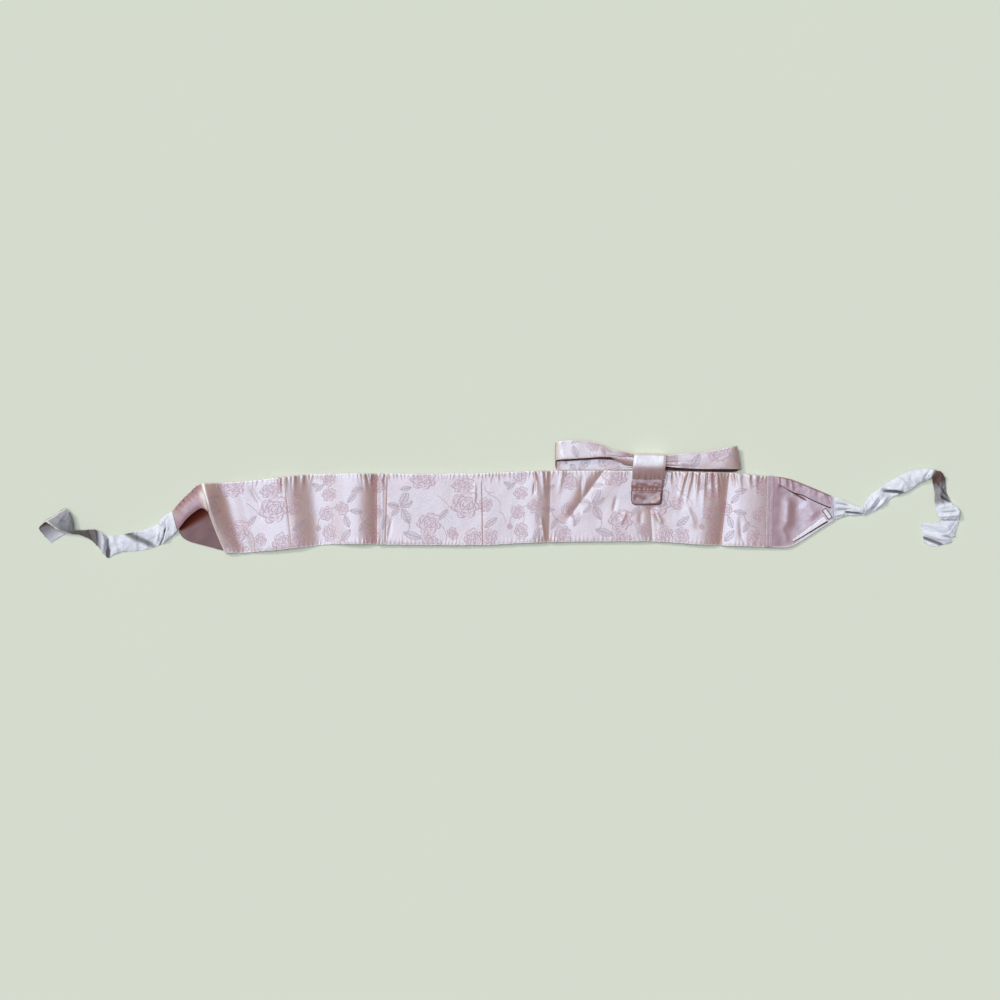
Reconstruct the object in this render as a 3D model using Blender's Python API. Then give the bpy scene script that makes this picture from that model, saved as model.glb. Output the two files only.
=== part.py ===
"""A satin waist sash, laid flat: a gathered rose satin band with folded ends, a tape tie at each
end, and a flat bow whose keeper strap is stitched down over the front of the band.

Lengths in this file are millimetres until a mesh is made, and +Z is up. The sash lies on z = 0 with
+X along the band towards the bow's end and +Y towards the band's upper edge.
"""

import math
import random
from collections import namedtuple

import bmesh
import bpy
from mathutils import Vector

MM = 0.001

# Driving sizes of the cloth
SEAM_GAP = 0.3
BACK_WALL = 1.0
FRONT_WALL = 1.4
END_WALL = 1.2
TAPE_WALL = 1.0
BOW_WALL = 1.2
PUFF = 4.2
GATHER_RISE = 1.1
GATHER_SCALLOP = 0.5
GATHER_PITCH = 3.55
GATHER_DEPTH_TOP = 0.17
GATHER_DEPTH_BOTTOM = 0.12
GATHER_LEAST, GATHER_MOST = 0.45, 1.25
PLUMP_FLATNESS = 3
PLUMP_SHOULDER = 0.8
FOLD_SHARE_AT_EDGE = 0.22
FRONT_FLOOR = BACK_WALL + SEAM_GAP

Edge = namedtuple("Edge", "x top bottom")
Fold = namedtuple("Fold", "x_top x_bottom slope crest valley edge rim rim_width t_from t_to")
Gather = namedtuple("Gather", "x top bottom")
Height = namedtuple("Height", "t z")
Line = namedtuple("Line", "x y")
Ruling = namedtuple("Ruling", "ax ay az bx by bz arch")

# The band's long edges, from the left crease to the seam before the right end
BAND_EDGES = (
    Edge(-373.0, 19.6, -66.9),
    Edge(-324.0, 21.6, -67.0),
    Edge(-286.0, 25.6, -64.5),
    Edge(-249.0, 30.0, -60.6),
    Edge(-211.0, 31.3, -56.5),
    Edge(-174.0, 32.0, -56.6),
    Edge(-99.0, 31.6, -57.5),
    Edge(-24.0, 32.2, -57.5),
    Edge(51.0, 35.2, -54.4),
    Edge(126.0, 35.6, -53.1),
    Edge(201.0, 34.4, -53.4),
    Edge(258.0, 32.5, -57.3),
    Edge(336.5, 28.8, -60.3),
)

# Lines that the front's columns of points follow: the two ends and each standing fold
CREASE_LEFT = (-370.8, -341.0)
SEAM_RIGHT = (334.6, 332.4)

# Standing folds of the front: the cloth slopes down to the line from its left, then steps up
FOLDS = (
    Fold(-268.0, -259.0, 9.0, 1.0, 1.4, 1.6, 0.6, 8.0, -0.1, 1.1),
    Fold(-151.0, -151.0, 21.0, 2.6, 3.0, 1.6, 1.6, 9.0, -0.1, 1.1),
    Fold(-137.0, -140.0, 7.0, 0.8, 1.8, 1.6, 1.0, 12.0, -0.1, 1.1),
    Fold(-21.5, -20.0, 7.0, 0.5, 1.4, 1.6, 0.4, 7.0, -0.1, 1.1),
    Fold(66.0, 65.0, 17.0, 2.6, 3.0, 1.6, 1.2, 14.0, -0.1, 1.1),
    Fold(286.5, 276.5, 24.0, 2.4, 3.2, 1.6, 1.6, 16.0, -0.1, 1.1),
)
SOFT_FOLDS = (
    Fold(-236.0, -232.0, 22.0, 0.4, 2.4, 9.0, 1.4, 14.0, -0.1, 1.1),
    Fold(128.0, 68.0, 20.0, 1.0, 2.8, 8.0, 1.8, 12.0, -0.1, 0.6),
    Fold(190.0, 196.0, 13.0, 1.0, 1.4, 6.0, 0.6, 16.0, 0.5, 1.1),
)

# How strongly each long edge is gathered
GATHERS = (
    Gather(-364.0, 0.4, 0.3),
    Gather(-318.0, 1.0, 0.6),
    Gather(-288.0, 0.7, 0.5),
    Gather(-255.0, 1.3, 0.4),
    Gather(-222.0, 0.8, 0.5),
    Gather(-186.0, 0.9, 0.5),
    Gather(-152.0, 1.5, 1.1),
    Gather(-122.0, 0.7, 0.6),
    Gather(-60.0, 0.5, 0.5),
    Gather(-8.0, 1.0, 0.4),
    Gather(24.0, 1.1, 0.4),
    Gather(62.0, 0.9, 1.0),
    Gather(100.0, 0.5, 0.5),
    Gather(170.0, 0.6, 0.5),
    Gather(228.0, 1.4, 0.4),
    Gather(282.0, 1.5, 0.6),
    Gather(310.0, 0.9, 0.5),
    Gather(336.5, 0.8, 0.5),
)

# The front stands up along the left crease, where its end is turned
CREASE_HEIGHTS = (
    Height(0.0, 1.9),
    Height(0.1, 7.4),
    Height(0.2, 10.0),
    Height(0.3, 10.6),
    Height(0.42, 9.4),
    Height(0.6, 7.4),
    Height(0.8, 4.6),
    Height(1.0, 1.4),
)
CREASE_SLOPE = 25.0
CREASE_BOW = 3.0
CREASE_BOW_REACH = 70.0

FRONT_ROWS = (0.0, 0.035, 0.09, 0.17, 0.28, 0.42, 0.57, 0.71, 0.83, 0.91, 0.965, 1.0)
INSIDE_ROWS = (0.0, 0.09, 0.28, 0.72, 0.91, 1.0)

# Left end: the rolled upper half and the flap that shows below it
ROLL_LEFT = (
    Ruling(-371.5, 19.0, 3.0, -362.6, -16.4, 10.4, 4.4),
    Ruling(-376.5, 17.0, 1.2, -366.0, -11.4, 9.4, 5.6),
    Ruling(-386.2, 8.0, 0.9, -375.6, -13.2, 8.6, 6.0),
    Ruling(-398.8, -4.6, 0.9, -389.4, -24.2, 7.2, 4.8),
    Ruling(-408.0, -15.0, 2.0, -401.4, -39.0, 5.0, 2.6),
)
FLAP_LEFT = (
    Ruling(-399.8, -34.5, 0.6, -399.8, -41.5, 0.6, 0.0),
    Ruling(-391.0, -21.0, 0.6, -394.6, -48.6, 0.6, 0.4),
    Ruling(-380.0, -9.5, 0.6, -385.0, -53.4, 0.6, 0.9),
    Ruling(-369.5, -4.0, 0.6, -372.0, -57.0, 0.6, 1.1),
    Ruling(-360.0, -3.0, 0.6, -360.0, -60.2, 0.6, 0.8),
    Ruling(-355.0, -4.0, 0.6, -346.0, -64.0, 0.6, 0.4),
    Ruling(-350.9, -4.0, 0.6, -332.8, -65.6, 0.6, 0.0),
)

# Right end: its outline, and the edges of the two pleats that narrow it to the tape
END_EDGES = (
    Edge(341.0, 28.8, -60.4),
    Edge(348.0, 28.0, -60.7),
    Edge(357.5, 26.6, -60.7),
    Edge(366.3, 24.4, -58.9),
    Edge(376.3, 20.7, -53.2),
    Edge(388.8, 15.6, -45.2),
    Edge(401.3, 10.4, -37.0),
    Edge(412.5, 5.4, -30.0),
    Edge(417.5, 3.1, -27.0),
)
TOP_PLEAT_FOLD = (
    Line(348.0, 19.6),
    Line(360.0, 11.4),
    Line(368.8, 6.9),
    Line(379.3, 4.0),
    Line(390.6, -1.6),
    Line(407.3, -9.0),
    Line(414.5, -11.6),
)
TOP_PLEAT_INSET = 0.8
BOTTOM_PLEAT_UPPER_X = (366.5, 405.4)
BOTTOM_PLEAT_LOWER_X = (367.5, 411.0)
BOTTOM_PLEAT_RISE = (4.6, 2.2)
BOTTOM_PLEAT_LEAST = 1.2
END_PUFF = (2.6, 0.6)
END_HOLLOW = (367.0, 9.0, 1.2)
STRIP_PUFF = 2.4
STRIP_CROWN = 0.5
BACK_INSET = 0.5
BACK_SETBACK = (13.5, 9.0)
BOTTOM_PLEAT_FOLD = (
    Line(366.0, -51.0),
    Line(380.0, -40.8),
    Line(394.0, -30.4),
    Line(405.4, -22.0),
    Line(411.5, -22.0),
)
STRIP_LEFT = (334.9, 332.7)
STRIP_RIGHT = (343.5, 341.0)
PANEL_LEFT = (343.9, 341.4)
TAB_CENTRE = (409.9, -18.6)
TAB_SIZE = (14.5, 6.0, 1.2)
TAB_TURN = math.radians(-54.0)

# Ties: each row is one line across the tape, from its first edge to its second
TIE_LEFT = (
    Ruling(-408.5, -15.2, 2.0, -402.0, -39.6, 5.0, 2.4),
    Ruling(-416.3, -20.0, 2.6, -410.0, -47.5, 2.6, 3.0),
    Ruling(-422.6, -25.2, 5.2, -416.3, -52.2, 4.4, 1.0),
    Ruling(-427.0, -31.6, 0.8, -422.8, -57.0, 0.6, 0.4),
    Ruling(-439.4, -36.9, 1.4, -437.5, -62.5, 0.6, 3.0),
    Ruling(-450.0, -40.0, 3.4, -448.8, -64.4, 0.6, 0.6),
    Ruling(-460.0, -42.5, 5.6, -460.0, -65.6, 0.6, 2.0),
    Ruling(-475.0, -45.0, 2.4, -473.8, -66.9, 0.6, 1.6),
    Ruling(-483.8, -46.3, 4.4, -482.5, -70.6, 0.6, 1.0),
    Ruling(-489.8, -46.6, 1.0, -488.4, -73.6, 0.6, 0.4),
    Ruling(-495.4, -43.4, 9.0, -493.8, -68.4, 6.0, 0.6),
    Ruling(-501.3, -39.4, 6.4, -500.4, -60.0, 1.0, 2.0),
    Ruling(-507.5, -38.1, 9.6, -507.5, -53.8, 0.8, 2.4),
    Ruling(-516.3, -38.6, 11.4, -515.6, -47.8, 0.8, 2.6),
    Ruling(-524.8, -38.8, 12.0, -524.4, -44.4, 1.0, 2.2),
    Ruling(-531.6, -37.8, 11.0, -532.4, -43.0, 2.4, 1.2),
    Ruling(-531.8, -31.8, 8.0, -541.6, -41.6, 6.2, 1.6),
    Ruling(-533.6, -23.6, 8.4, -552.5, -37.4, 8.6, 2.4),
    Ruling(-537.4, -15.4, 10.4, -561.4, -31.2, 10.2, 1.0),
    Ruling(-541.2, -11.6, 9.0, -566.6, -28.8, 8.4, 0.4),
    Ruling(-541.4, -12.6, 5.0, -570.4, -31.4, 4.4, 0.2),
    Ruling(-540.6, -17.6, 1.6, -575.0, -37.2, 1.4, 0.2),
    Ruling(-540.6, -28.0, 0.6, -569.0, -45.2, 0.6, 0.0),
    Ruling(-538.3, -40.6, 0.5, -560.6, -54.2, 0.5, 0.0),
)
TIE_RIGHT = (
    Ruling(418.4, 2.9, 3.0, 418.1, -26.2, 3.0, 1.6),
    Ruling(427.5, 0.4, 3.0, 428.1, -22.9, 1.4, 2.2),
    Ruling(436.3, -4.6, 5.0, 435.8, -20.8, 0.8, 3.4),
    Ruling(445.0, -7.9, 7.0, 445.0, -21.3, 0.8, 3.6),
    Ruling(452.8, -10.6, 8.0, 454.4, -20.4, 0.8, 2.6),
    Ruling(457.4, -3.4, 5.0, 462.4, -17.8, 0.8, 3.4),
    Ruling(464.4, 5.6, 3.0, 473.4, -12.9, 0.8, 3.4),
    Ruling(474.6, 12.5, 4.0, 484.6, -5.0, 0.8, 2.4),
    Ruling(481.6, 17.8, 5.0, 492.8, 2.6, 1.0, 1.0),
    Ruling(486.6, 21.4, 6.4, 502.4, 7.2, 6.0, 1.0),
    Ruling(501.2, 29.4, 4.4, 514.6, 12.0, 3.0, 3.0),
    Ruling(517.5, 36.3, 5.0, 526.3, 19.8, 3.0, 3.0),
    Ruling(532.0, 37.9, 8.0, 536.0, 24.8, 5.6, 2.0),
    Ruling(543.4, 36.6, 9.4, 539.4, 26.6, 7.4, 1.4),
    Ruling(552.0, 33.6, 8.2, 540.4, 26.4, 7.0, 1.0),
    Ruling(556.6, 27.6, 4.4, 541.4, 22.6, 3.4, 1.2),
    Ruling(558.2, 20.4, 1.4, 542.6, 16.6, 1.6, 2.4),
    Ruling(558.8, 11.4, 0.6, 544.2, 7.6, 3.6, 3.4),
    Ruling(562.5, 1.9, 0.6, 544.2, -1.6, 3.6, 3.4),
    Ruling(567.5, -5.6, 0.6, 545.2, -10.4, 2.4, 2.6),
    Ruling(574.2, -11.8, 5.0, 548.8, -20.0, 5.0, 2.0),
    Ruling(576.0, -19.6, 4.0, 551.2, -24.8, 4.4, 3.0),
    Ruling(574.6, -27.8, 1.6, 552.0, -27.6, 4.0, 1.6),
    Ruling(571.8, -39.0, 0.6, 551.6, -28.9, 4.0, 2.0),
    Ruling(566.0, -53.0, 0.6, 549.8, -29.6, 3.8, 2.0),
    Ruling(554.4, -57.5, 0.6, 545.0, -30.0, 2.8, 2.0),
    Ruling(541.3, -59.2, 0.6, 536.6, -30.6, 1.6, 1.6),
    Ruling(530.8, -54.6, 0.5, 527.2, -30.8, 0.5, 0.6),
)

# Bow: each loop runs out over the top, turns at its end, and comes back along the table
BOW_LEFT = (
    Ruling(187.1, 53.2, 12.6, 187.1, 42.0, 11.0, 1.2),
    Ruling(168.8, 53.8, 12.8, 168.8, 43.6, 10.4, 1.6),
    Ruling(157.5, 57.8, 13.0, 156.3, 52.6, 9.6, 1.6),
    Ruling(141.3, 61.5, 12.6, 140.0, 51.8, 9.8, 2.0),
    Ruling(126.3, 68.0, 12.2, 125.0, 52.2, 10.0, 2.2),
    Ruling(107.5, 72.4, 12.0, 106.3, 51.0, 10.2, 2.4),
    Ruling(86.3, 73.0, 12.0, 86.3, 49.8, 10.2, 2.0),
    Ruling(76.0, 72.2, 11.4, 76.3, 49.3, 9.8, 1.0),
    Ruling(70.8, 70.6, 7.4, 70.4, 47.4, 6.6, 0.0),
    Ruling(71.6, 67.5, 2.6, 71.0, 38.4, 2.4, 0.0),
    Ruling(77.5, 66.3, 0.7, 77.5, 36.5, 0.7, 0.0),
    Ruling(126.3, 63.6, 0.7, 126.3, 36.6, 0.7, 0.0),
    Ruling(160.0, 56.0, 1.4, 160.0, 36.7, 1.4, 0.0),
    Ruling(170.0, 53.6, 2.6, 170.0, 37.4, 2.6, 0.0),
    Ruling(187.1, 53.0, 2.6, 187.1, 38.0, 2.6, 0.0),
)
BOW_RIGHT = (
    Ruling(188.0, 53.4, 12.6, 188.0, 42.0, 11.0, 1.2),
    Ruling(207.5, 54.0, 12.8, 207.5, 40.0, 10.0, 1.6),
    Ruling(226.3, 56.2, 12.4, 226.3, 37.6, 9.2, 2.0),
    Ruling(251.3, 58.2, 12.0, 251.3, 36.2, 9.0, 2.2),
    Ruling(270.0, 61.0, 12.0, 271.3, 35.4, 9.0, 2.2),
    Ruling(286.3, 64.6, 11.8, 288.8, 35.2, 9.0, 1.6),
    Ruling(294.6, 66.2, 10.6, 298.4, 35.4, 8.4, 0.8),
    Ruling(297.6, 65.6, 7.0, 302.4, 36.0, 5.4, 0.0),
    Ruling(295.8, 63.0, 2.8, 299.6, 36.4, 2.4, 0.0),
    Ruling(288.8, 61.4, 0.7, 290.8, 36.6, 0.7, 0.0),
    Ruling(251.3, 56.2, 0.7, 251.3, 36.6, 0.7, 0.0),
    Ruling(218.0, 53.6, 1.4, 218.0, 37.0, 1.4, 0.0),
    Ruling(206.0, 53.0, 2.6, 206.0, 37.6, 2.6, 0.0),
    Ruling(188.0, 52.6, 2.6, 188.0, 38.0, 2.6, 0.0),
)
BOW_TUCK = (
    Ruling(142.6, 52.4, 8.2, 142.6, 49.2, 6.8, 0.2),
    Ruling(150.0, 52.2, 8.0, 150.0, 46.0, 5.2, 0.8),
    Ruling(158.0, 50.4, 8.0, 158.0, 42.6, 4.8, 1.2),
    Ruling(168.4, 46.4, 8.6, 168.4, 40.4, 5.0, 0.8),
)
KEEPER = (
    Ruling(166.2, 24.8, 8.6, 206.8, 24.8, 8.6, 0.0),
    Ruling(166.4, 31.6, 9.8, 207.0, 31.6, 9.8, 0.0),
    Ruling(166.7, 38.6, 13.6, 207.3, 38.2, 13.6, 0.0),
    Ruling(167.4, 45.0, 16.2, 207.9, 44.6, 16.2, 0.0),
    Ruling(168.2, 51.0, 17.0, 208.5, 50.4, 17.0, 0.0),
    Ruling(168.8, 55.2, 15.8, 208.8, 54.6, 15.8, 0.0),
    Ruling(169.0, 57.0, 11.0, 208.9, 56.4, 11.0, 0.0),
    Ruling(169.0, 57.0, 5.0, 208.9, 56.4, 5.0, 0.0),
    Ruling(169.0, 54.6, 0.8, 208.9, 54.2, 0.8, 0.0),
    Ruling(169.0, 50.0, 0.6, 208.9, 50.0, 0.6, 0.0),
    Ruling(169.0, 38.0, 0.6, 208.9, 38.0, 0.6, 0.0),
)
KEEPER_WALL = 1.2

# The stitched tab at the strap's end: across the strap at each step down the band
TabRow = namedtuple("TabRow", "y left right lift")
TAB_ROWS = (
    TabRow(24.2, 166.0, 206.6, 0.5),
    TabRow(21.6, 165.4, 206.2, 1.7),
    TabRow(17.0, 165.0, 205.4, 1.9),
    TabRow(12.4, 165.2, 204.6, 0.6),
    TabRow(9.0, 164.8, 204.2, 1.8),
    TabRow(3.0, 164.8, 203.6, 2.4),
    TabRow(-3.0, 165.2, 203.2, 2.0),
    TabRow(-6.4, 167.0, 201.6, 1.2),
    TabRow(-7.8, 170.0, 198.6, 0.5),
)
TAB_WALL = 1.2
TAB_EASE = 0.4
TAB_STEPS = 6


def mix(a, b, share):
    return a + (b - a) * share


def ease(share):
    share = min(1.0, max(0.0, share))
    return share * share * (3.0 - 2.0 * share)


def curve_through(values, stations, at):
    """The value at a station, on a smooth curve through the values."""
    last = len(stations) - 1
    k = 0
    while k < last - 1 and at > stations[k + 1]:
        k += 1
    span = stations[k + 1] - stations[k]
    share = min(1.0, max(0.0, (at - stations[k]) / span))
    slope_a = slope_at(values, stations, k) * span
    slope_b = slope_at(values, stations, k + 1) * span
    s2 = share * share
    s3 = s2 * share
    return (
        (2 * s3 - 3 * s2 + 1) * values[k]
        + (s3 - 2 * s2 + share) * slope_a
        + (3 * s2 - 2 * s3) * values[k + 1]
        + (s3 - s2) * slope_b
    )


def slope_at(values, stations, k):
    low = max(0, k - 1)
    high = min(len(stations) - 1, k + 1)
    return (values[high] - values[low]) / (stations[high] - stations[low])


def column_of(rows, name):
    return [getattr(row, name) for row in rows]


def read(rows, name, at, key="x"):
    """A named column of a table, read at a station of its key column."""
    return curve_through(column_of(rows, name), column_of(rows, key), at)


# The band's front as a height over the table

def fold_height(fold, x, t):
    line = mix(fold.x_top, fold.x_bottom, t)
    span = max(0.05, min(0.12, fold.t_to - fold.t_from))
    fade = ease((t - fold.t_from) / span) * ease((fold.t_to - t) / span)
    d = x - line
    if d <= -fold.slope:
        lead = 1.4 * fold.slope
        return fade * fold.crest * (1.0 - ease((-d - fold.slope) / lead))
    if d <= 0.0:
        return fade * mix(-fold.valley, fold.crest, ease(-d / fold.slope))
    if d <= fold.edge:
        return fade * mix(-fold.valley, fold.rim, ease(d / fold.edge))
    return fade * fold.rim * (1.0 - ease((d - fold.edge) / fold.rim_width))


def plump(t):
    """The band's cushion shape across its height: 0 at both edges and 1 in the middle."""
    if not 0.0 < t < 1.0:
        return 0.0
    return (1.0 - abs(2.0 * t - 1.0) ** PLUMP_FLATNESS) ** PLUMP_SHOULDER


def bowed(x, t):
    """x moved with the left crease, which bows towards the band's middle-left."""
    near = 1.0 - ease((x - mix(*CREASE_LEFT, t)) / CREASE_BOW_REACH)
    return x - CREASE_BOW * near * 4.0 * t * (1.0 - t)


def inside_height(x, t):
    """Height of the front's inner side above the table."""
    full = plump(t)
    folds = sum(fold_height(fold, x, t) for fold in FOLDS + SOFT_FOLDS)
    height = PUFF * full + folds * mix(FOLD_SHARE_AT_EDGE, 1.0, full)
    crease = bowed(mix(*CREASE_LEFT, t), t)
    stand = 1.0 - ease((x - crease) / CREASE_SLOPE)
    lifted = read(CREASE_HEIGHTS, "z", t, "t")
    return FRONT_FLOOR + max(0.0, mix(height, lifted, stand))


def band_y(x, t):
    return mix(read(BAND_EDGES, "top", x), read(BAND_EDGES, "bottom", x), t)


def band_t(x, y):
    top = read(BAND_EDGES, "top", x)
    bottom = read(BAND_EDGES, "bottom", x)
    return (top - y) / (top - bottom)


def front_top(x, y):
    """Height of the front's outer side at a point, without its gathers."""
    return inside_height(x, band_t(x, y)) + FRONT_WALL


def front_columns():
    """The front's columns as (x at the top edge, x at the bottom edge), close to each fold line."""
    lines = [CREASE_LEFT]
    for fold in FOLDS:
        lines.append((fold.x_top, fold.x_bottom))
        lines.append((fold.x_top + fold.edge, fold.x_bottom + fold.edge))
    lines.append(SEAM_RIGHT)
    columns = []
    for (top_a, bottom_a), (top_b, bottom_b) in zip(lines, lines[1:]):
        steps = max(1, round((top_b - top_a) / GATHER_PITCH))
        for k in range(steps):
            share = k / steps
            columns.append((mix(top_a, top_b, share), mix(bottom_a, bottom_b, share)))
    columns.append(SEAM_RIGHT)
    return columns


def gather_wave(k, x, t, dice):
    """(rise, scallop) of the gathers at a column: they alternate, and die out away from the edges."""
    near_top = 1.0 - ease(t / GATHER_DEPTH_TOP)
    near_bottom = 1.0 - ease((1.0 - t) / GATHER_DEPTH_BOTTOM)
    side = 1.0 if k % 2 else -1.0
    strength = near_top * read(GATHERS, "top", x) * dice[k][0]
    strength += near_bottom * read(GATHERS, "bottom", x) * dice[k][1]
    rise = GATHER_RISE * side * strength
    return max(-0.5 * FRONT_WALL, rise), GATHER_SCALLOP * side * strength


# Solids

def material(name, colour, roughness):
    made = bpy.data.materials.new(name)
    made.use_nodes = True
    shader = made.node_tree.nodes["Principled BSDF"]
    shader.inputs["Base Color"].default_value = (*colour, 1.0)
    shader.inputs["Roughness"].default_value = roughness
    return made


def zip_lines(bm, first, second):
    """Triangles between two lines of points that may differ in number."""
    i = 0
    j = 0
    while i < len(first) - 1 or j < len(second) - 1:
        share_i = (i + 1) / (len(first) - 1) if i < len(first) - 1 else 2.0
        share_j = (j + 1) / (len(second) - 1) if j < len(second) - 1 else 2.0
        if share_i <= share_j:
            bm.faces.new((first[i], first[i + 1], second[j]))
            i += 1
        else:
            bm.faces.new((first[i], second[j + 1], second[j]))
            j += 1


def closed_wall(name, outer, inner, finish):
    """One closed body between an outer and an inner grid, which share their number of columns."""
    bm = bmesh.new()
    out = [[bm.verts.new(Vector(p) * MM) for p in row] for row in outer]
    ins = [[bm.verts.new(Vector(p) * MM) for p in row] for row in inner]
    for grid in (out, ins):
        for row_a, row_b in zip(grid, grid[1:]):
            for c in range(len(row_a) - 1):
                bm.faces.new((row_a[c], row_a[c + 1], row_b[c + 1], row_b[c]))
    for a, b in ((out[0], ins[0]), (out[-1], ins[-1])):
        zip_lines(bm, a, b)
    for c in (0, -1):
        zip_lines(bm, [row[c] for row in out], [row[c] for row in ins])
    bmesh.ops.recalc_face_normals(bm, faces=bm.faces)
    mesh = bpy.data.meshes.new(name)
    bm.to_mesh(mesh)
    bm.free()
    mesh.shade_smooth()
    mesh.set_sharp_from_angle(angle=math.radians(50))
    mesh.materials.append(finish)
    made = bpy.data.objects.new(name, mesh)
    bpy.context.scene.collection.objects.link(made)
    return made


def strip_rows(rulings, between, across):
    """Mid-surface points of a strip of cloth, read from a smooth surface through its rulings."""
    stations = list(range(len(rulings)))
    count = (len(rulings) - 1) * between
    rows = []
    for k in range(count + 1):
        at = k / between
        values = [curve_through(column_of(rulings, f), stations, at) for f in Ruling._fields]
        a = Vector(values[0:3])
        b = Vector(values[3:6])
        rise = Vector((0.0, 0.0, 4.0 * values[6]))
        shares = [c / across for c in range(across + 1)]
        rows.append([a.lerp(b, s) + rise * s * (1.0 - s) for s in shares])
    return rows


def grid_normals(grid):
    normals = []
    last_row = len(grid) - 1
    last_column = len(grid[0]) - 1
    for r, row in enumerate(grid):
        line = []
        for c in range(len(row)):
            along = grid[min(last_row, r + 1)][c] - grid[max(0, r - 1)][c]
            over = row[min(last_column, c + 1)] - row[max(0, c - 1)]
            line.append(over.cross(along).normalized())
        normals.append(line)
    return normals


def on_table(point):
    return Vector((point.x, point.y, max(0.0, point.z)))


def strip(name, rulings, wall, finish, between=2, across=4):
    """A strip of cloth as a closed wall, flat where it rests on the table."""
    grid = strip_rows(rulings, between, across)
    normals = grid_normals(grid)
    outer = [
        [on_table(p + n * wall / 2) for p, n in zip(row, line)] for row, line in zip(grid, normals)
    ]
    inner = [
        [on_table(p - n * wall / 2) for p, n in zip(row, line)] for row, line in zip(grid, normals)
    ]
    return closed_wall(name, outer, inner, finish)


def build_front(finish):
    columns = front_columns()
    rng = random.Random(11)
    dice = [
        (rng.uniform(GATHER_LEAST, GATHER_MOST), rng.uniform(GATHER_LEAST, GATHER_MOST))
        for _ in columns
    ]
    outer = []
    for t in FRONT_ROWS:
        row = []
        for k, (x_top, x_bottom) in enumerate(columns):
            x = bowed(mix(x_top, x_bottom, t), t)
            rise, scallop = gather_wave(k, x, t, dice)
            out_of_edge = scallop * ((t == 0.0) - (t == 1.0))
            row.append((x, band_y(x, t) - out_of_edge, inside_height(x, t) + FRONT_WALL + rise))
        outer.append(row)
    inner = []
    for t in INSIDE_ROWS:
        row = []
        for x_top, x_bottom in columns:
            x = bowed(mix(x_top, x_bottom, t), t)
            row.append((x, band_y(x, t), inside_height(x, t)))
        inner.append(row)
    return closed_wall("band_front", outer, inner, finish)


def whole_edge(x, name):
    """The sash's long edge at x, along the band and on along the right end."""
    return read(BAND_EDGES if x < END_EDGES[0].x else END_EDGES, name, x)


def build_back(finish):
    """The back panel: flat on the table from the left crease to the right tape."""
    left = [crease + setback for crease, setback in zip(CREASE_LEFT, BACK_SETBACK)]
    right = END_EDGES[-1].x
    steps = 64
    rows = (0.0, 0.35, 0.7, 1.0)
    outer = []
    inner = []
    for t in rows:
        xs = [mix(mix(left[0], left[1], t), right, k / steps) for k in range(steps + 1)]
        line = []
        for x in xs:
            top = whole_edge(x, "top") - BACK_INSET
            bottom = whole_edge(x, "bottom") + BACK_INSET
            line.append((x, mix(top, bottom, t)))
        outer.append([(x, y, BACK_WALL) for x, y in line])
        inner.append([(x, y, 0.0) for x, y in line])
    return closed_wall("band_back", outer, inner, finish)


def end_height(x, t):
    """Height of the right end's inner side: it flattens as the pleats take up its width."""
    start, stop = END_EDGES[0].x, END_EDGES[-1].x
    share = (x - start) / (stop - start)
    middle, width, depth = END_HOLLOW
    hollow = depth * math.exp(-(((x - middle) / width) ** 2)) * math.sin(math.pi * t)
    return FRONT_FLOOR + mix(*END_PUFF, ease(share)) * plump(t) - hollow


def build_end_panel(finish):
    steps = 18
    rows = (0.0, 0.06, 0.16, 0.3, 0.44, 0.58, 0.72, 0.86, 0.95, 1.0)
    outer = []
    inner = []
    for t in rows:
        start = mix(*PANEL_LEFT, t)
        xs = [mix(start, END_EDGES[-1].x, k / steps) for k in range(steps + 1)]
        ys = [mix(read(END_EDGES, "top", x), read(END_EDGES, "bottom", x), t) for x in xs]
        heights = [end_height(x, t) for x in xs]
        outer.append([(x, y, z + END_WALL) for x, y, z in zip(xs, ys, heights)])
        inner.append(list(zip(xs, ys, heights)))
    return closed_wall("end_right_panel", outer, inner, finish)


def end_top(x, y):
    """Height of the right end's outer side at a point."""
    top = read(END_EDGES, "top", x)
    bottom = read(END_EDGES, "bottom", x)
    return end_height(x, (top - y) / (top - bottom)) + END_WALL


def lying_on(name, columns, surface, finish, across=4, crown=0.6, wall=END_WALL):
    """A folded layer that lies on another: its underside is that surface, moved out."""
    outer = []
    inner = []
    for share in [k / across for k in range(across + 1)]:
        top_row = []
        under_row = []
        for k, (a, b) in enumerate(columns):
            x = mix(a[0], b[0], share)
            y = mix(a[1], b[1], share)
            under = surface(x, y) + SEAM_GAP
            along = k / (len(columns) - 1)
            swell = crown * math.sin(math.pi * share) ** 0.5 * math.sin(math.pi * mix(0.1, 0.9, along))
            under_row.append((x, y, under))
            top_row.append((x, y, under + wall + swell))
        outer.append(top_row)
        inner.append(under_row)
    return closed_wall(name, outer, inner, finish)


def build_top_pleat(finish):
    columns = []
    for k in range(17):
        x = mix(TOP_PLEAT_FOLD[0].x, TOP_PLEAT_FOLD[-1].x, k / 16)
        edge = read(END_EDGES, "top", x) - TOP_PLEAT_INSET
        columns.append(((x, edge), (x, read(TOP_PLEAT_FOLD, "y", x))))
    return lying_on("end_right_top_pleat", columns, end_top, finish, crown=1.0)


def build_bottom_pleat(finish):
    columns = []
    for k in range(11):
        share = k / 10
        x_up = mix(*BOTTOM_PLEAT_UPPER_X, share)
        x_low = mix(*BOTTOM_PLEAT_LOWER_X, share)
        upper = read(BOTTOM_PLEAT_FOLD, "y", x_up)
        lower = read(END_EDGES, "bottom", x_low) + mix(*BOTTOM_PLEAT_RISE, share)
        columns.append(((x_up, upper), (x_low, min(lower, upper - BOTTOM_PLEAT_LEAST))))
    return lying_on("end_right_bottom_pleat", columns, end_top, finish, across=3, crown=0.5)


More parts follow.
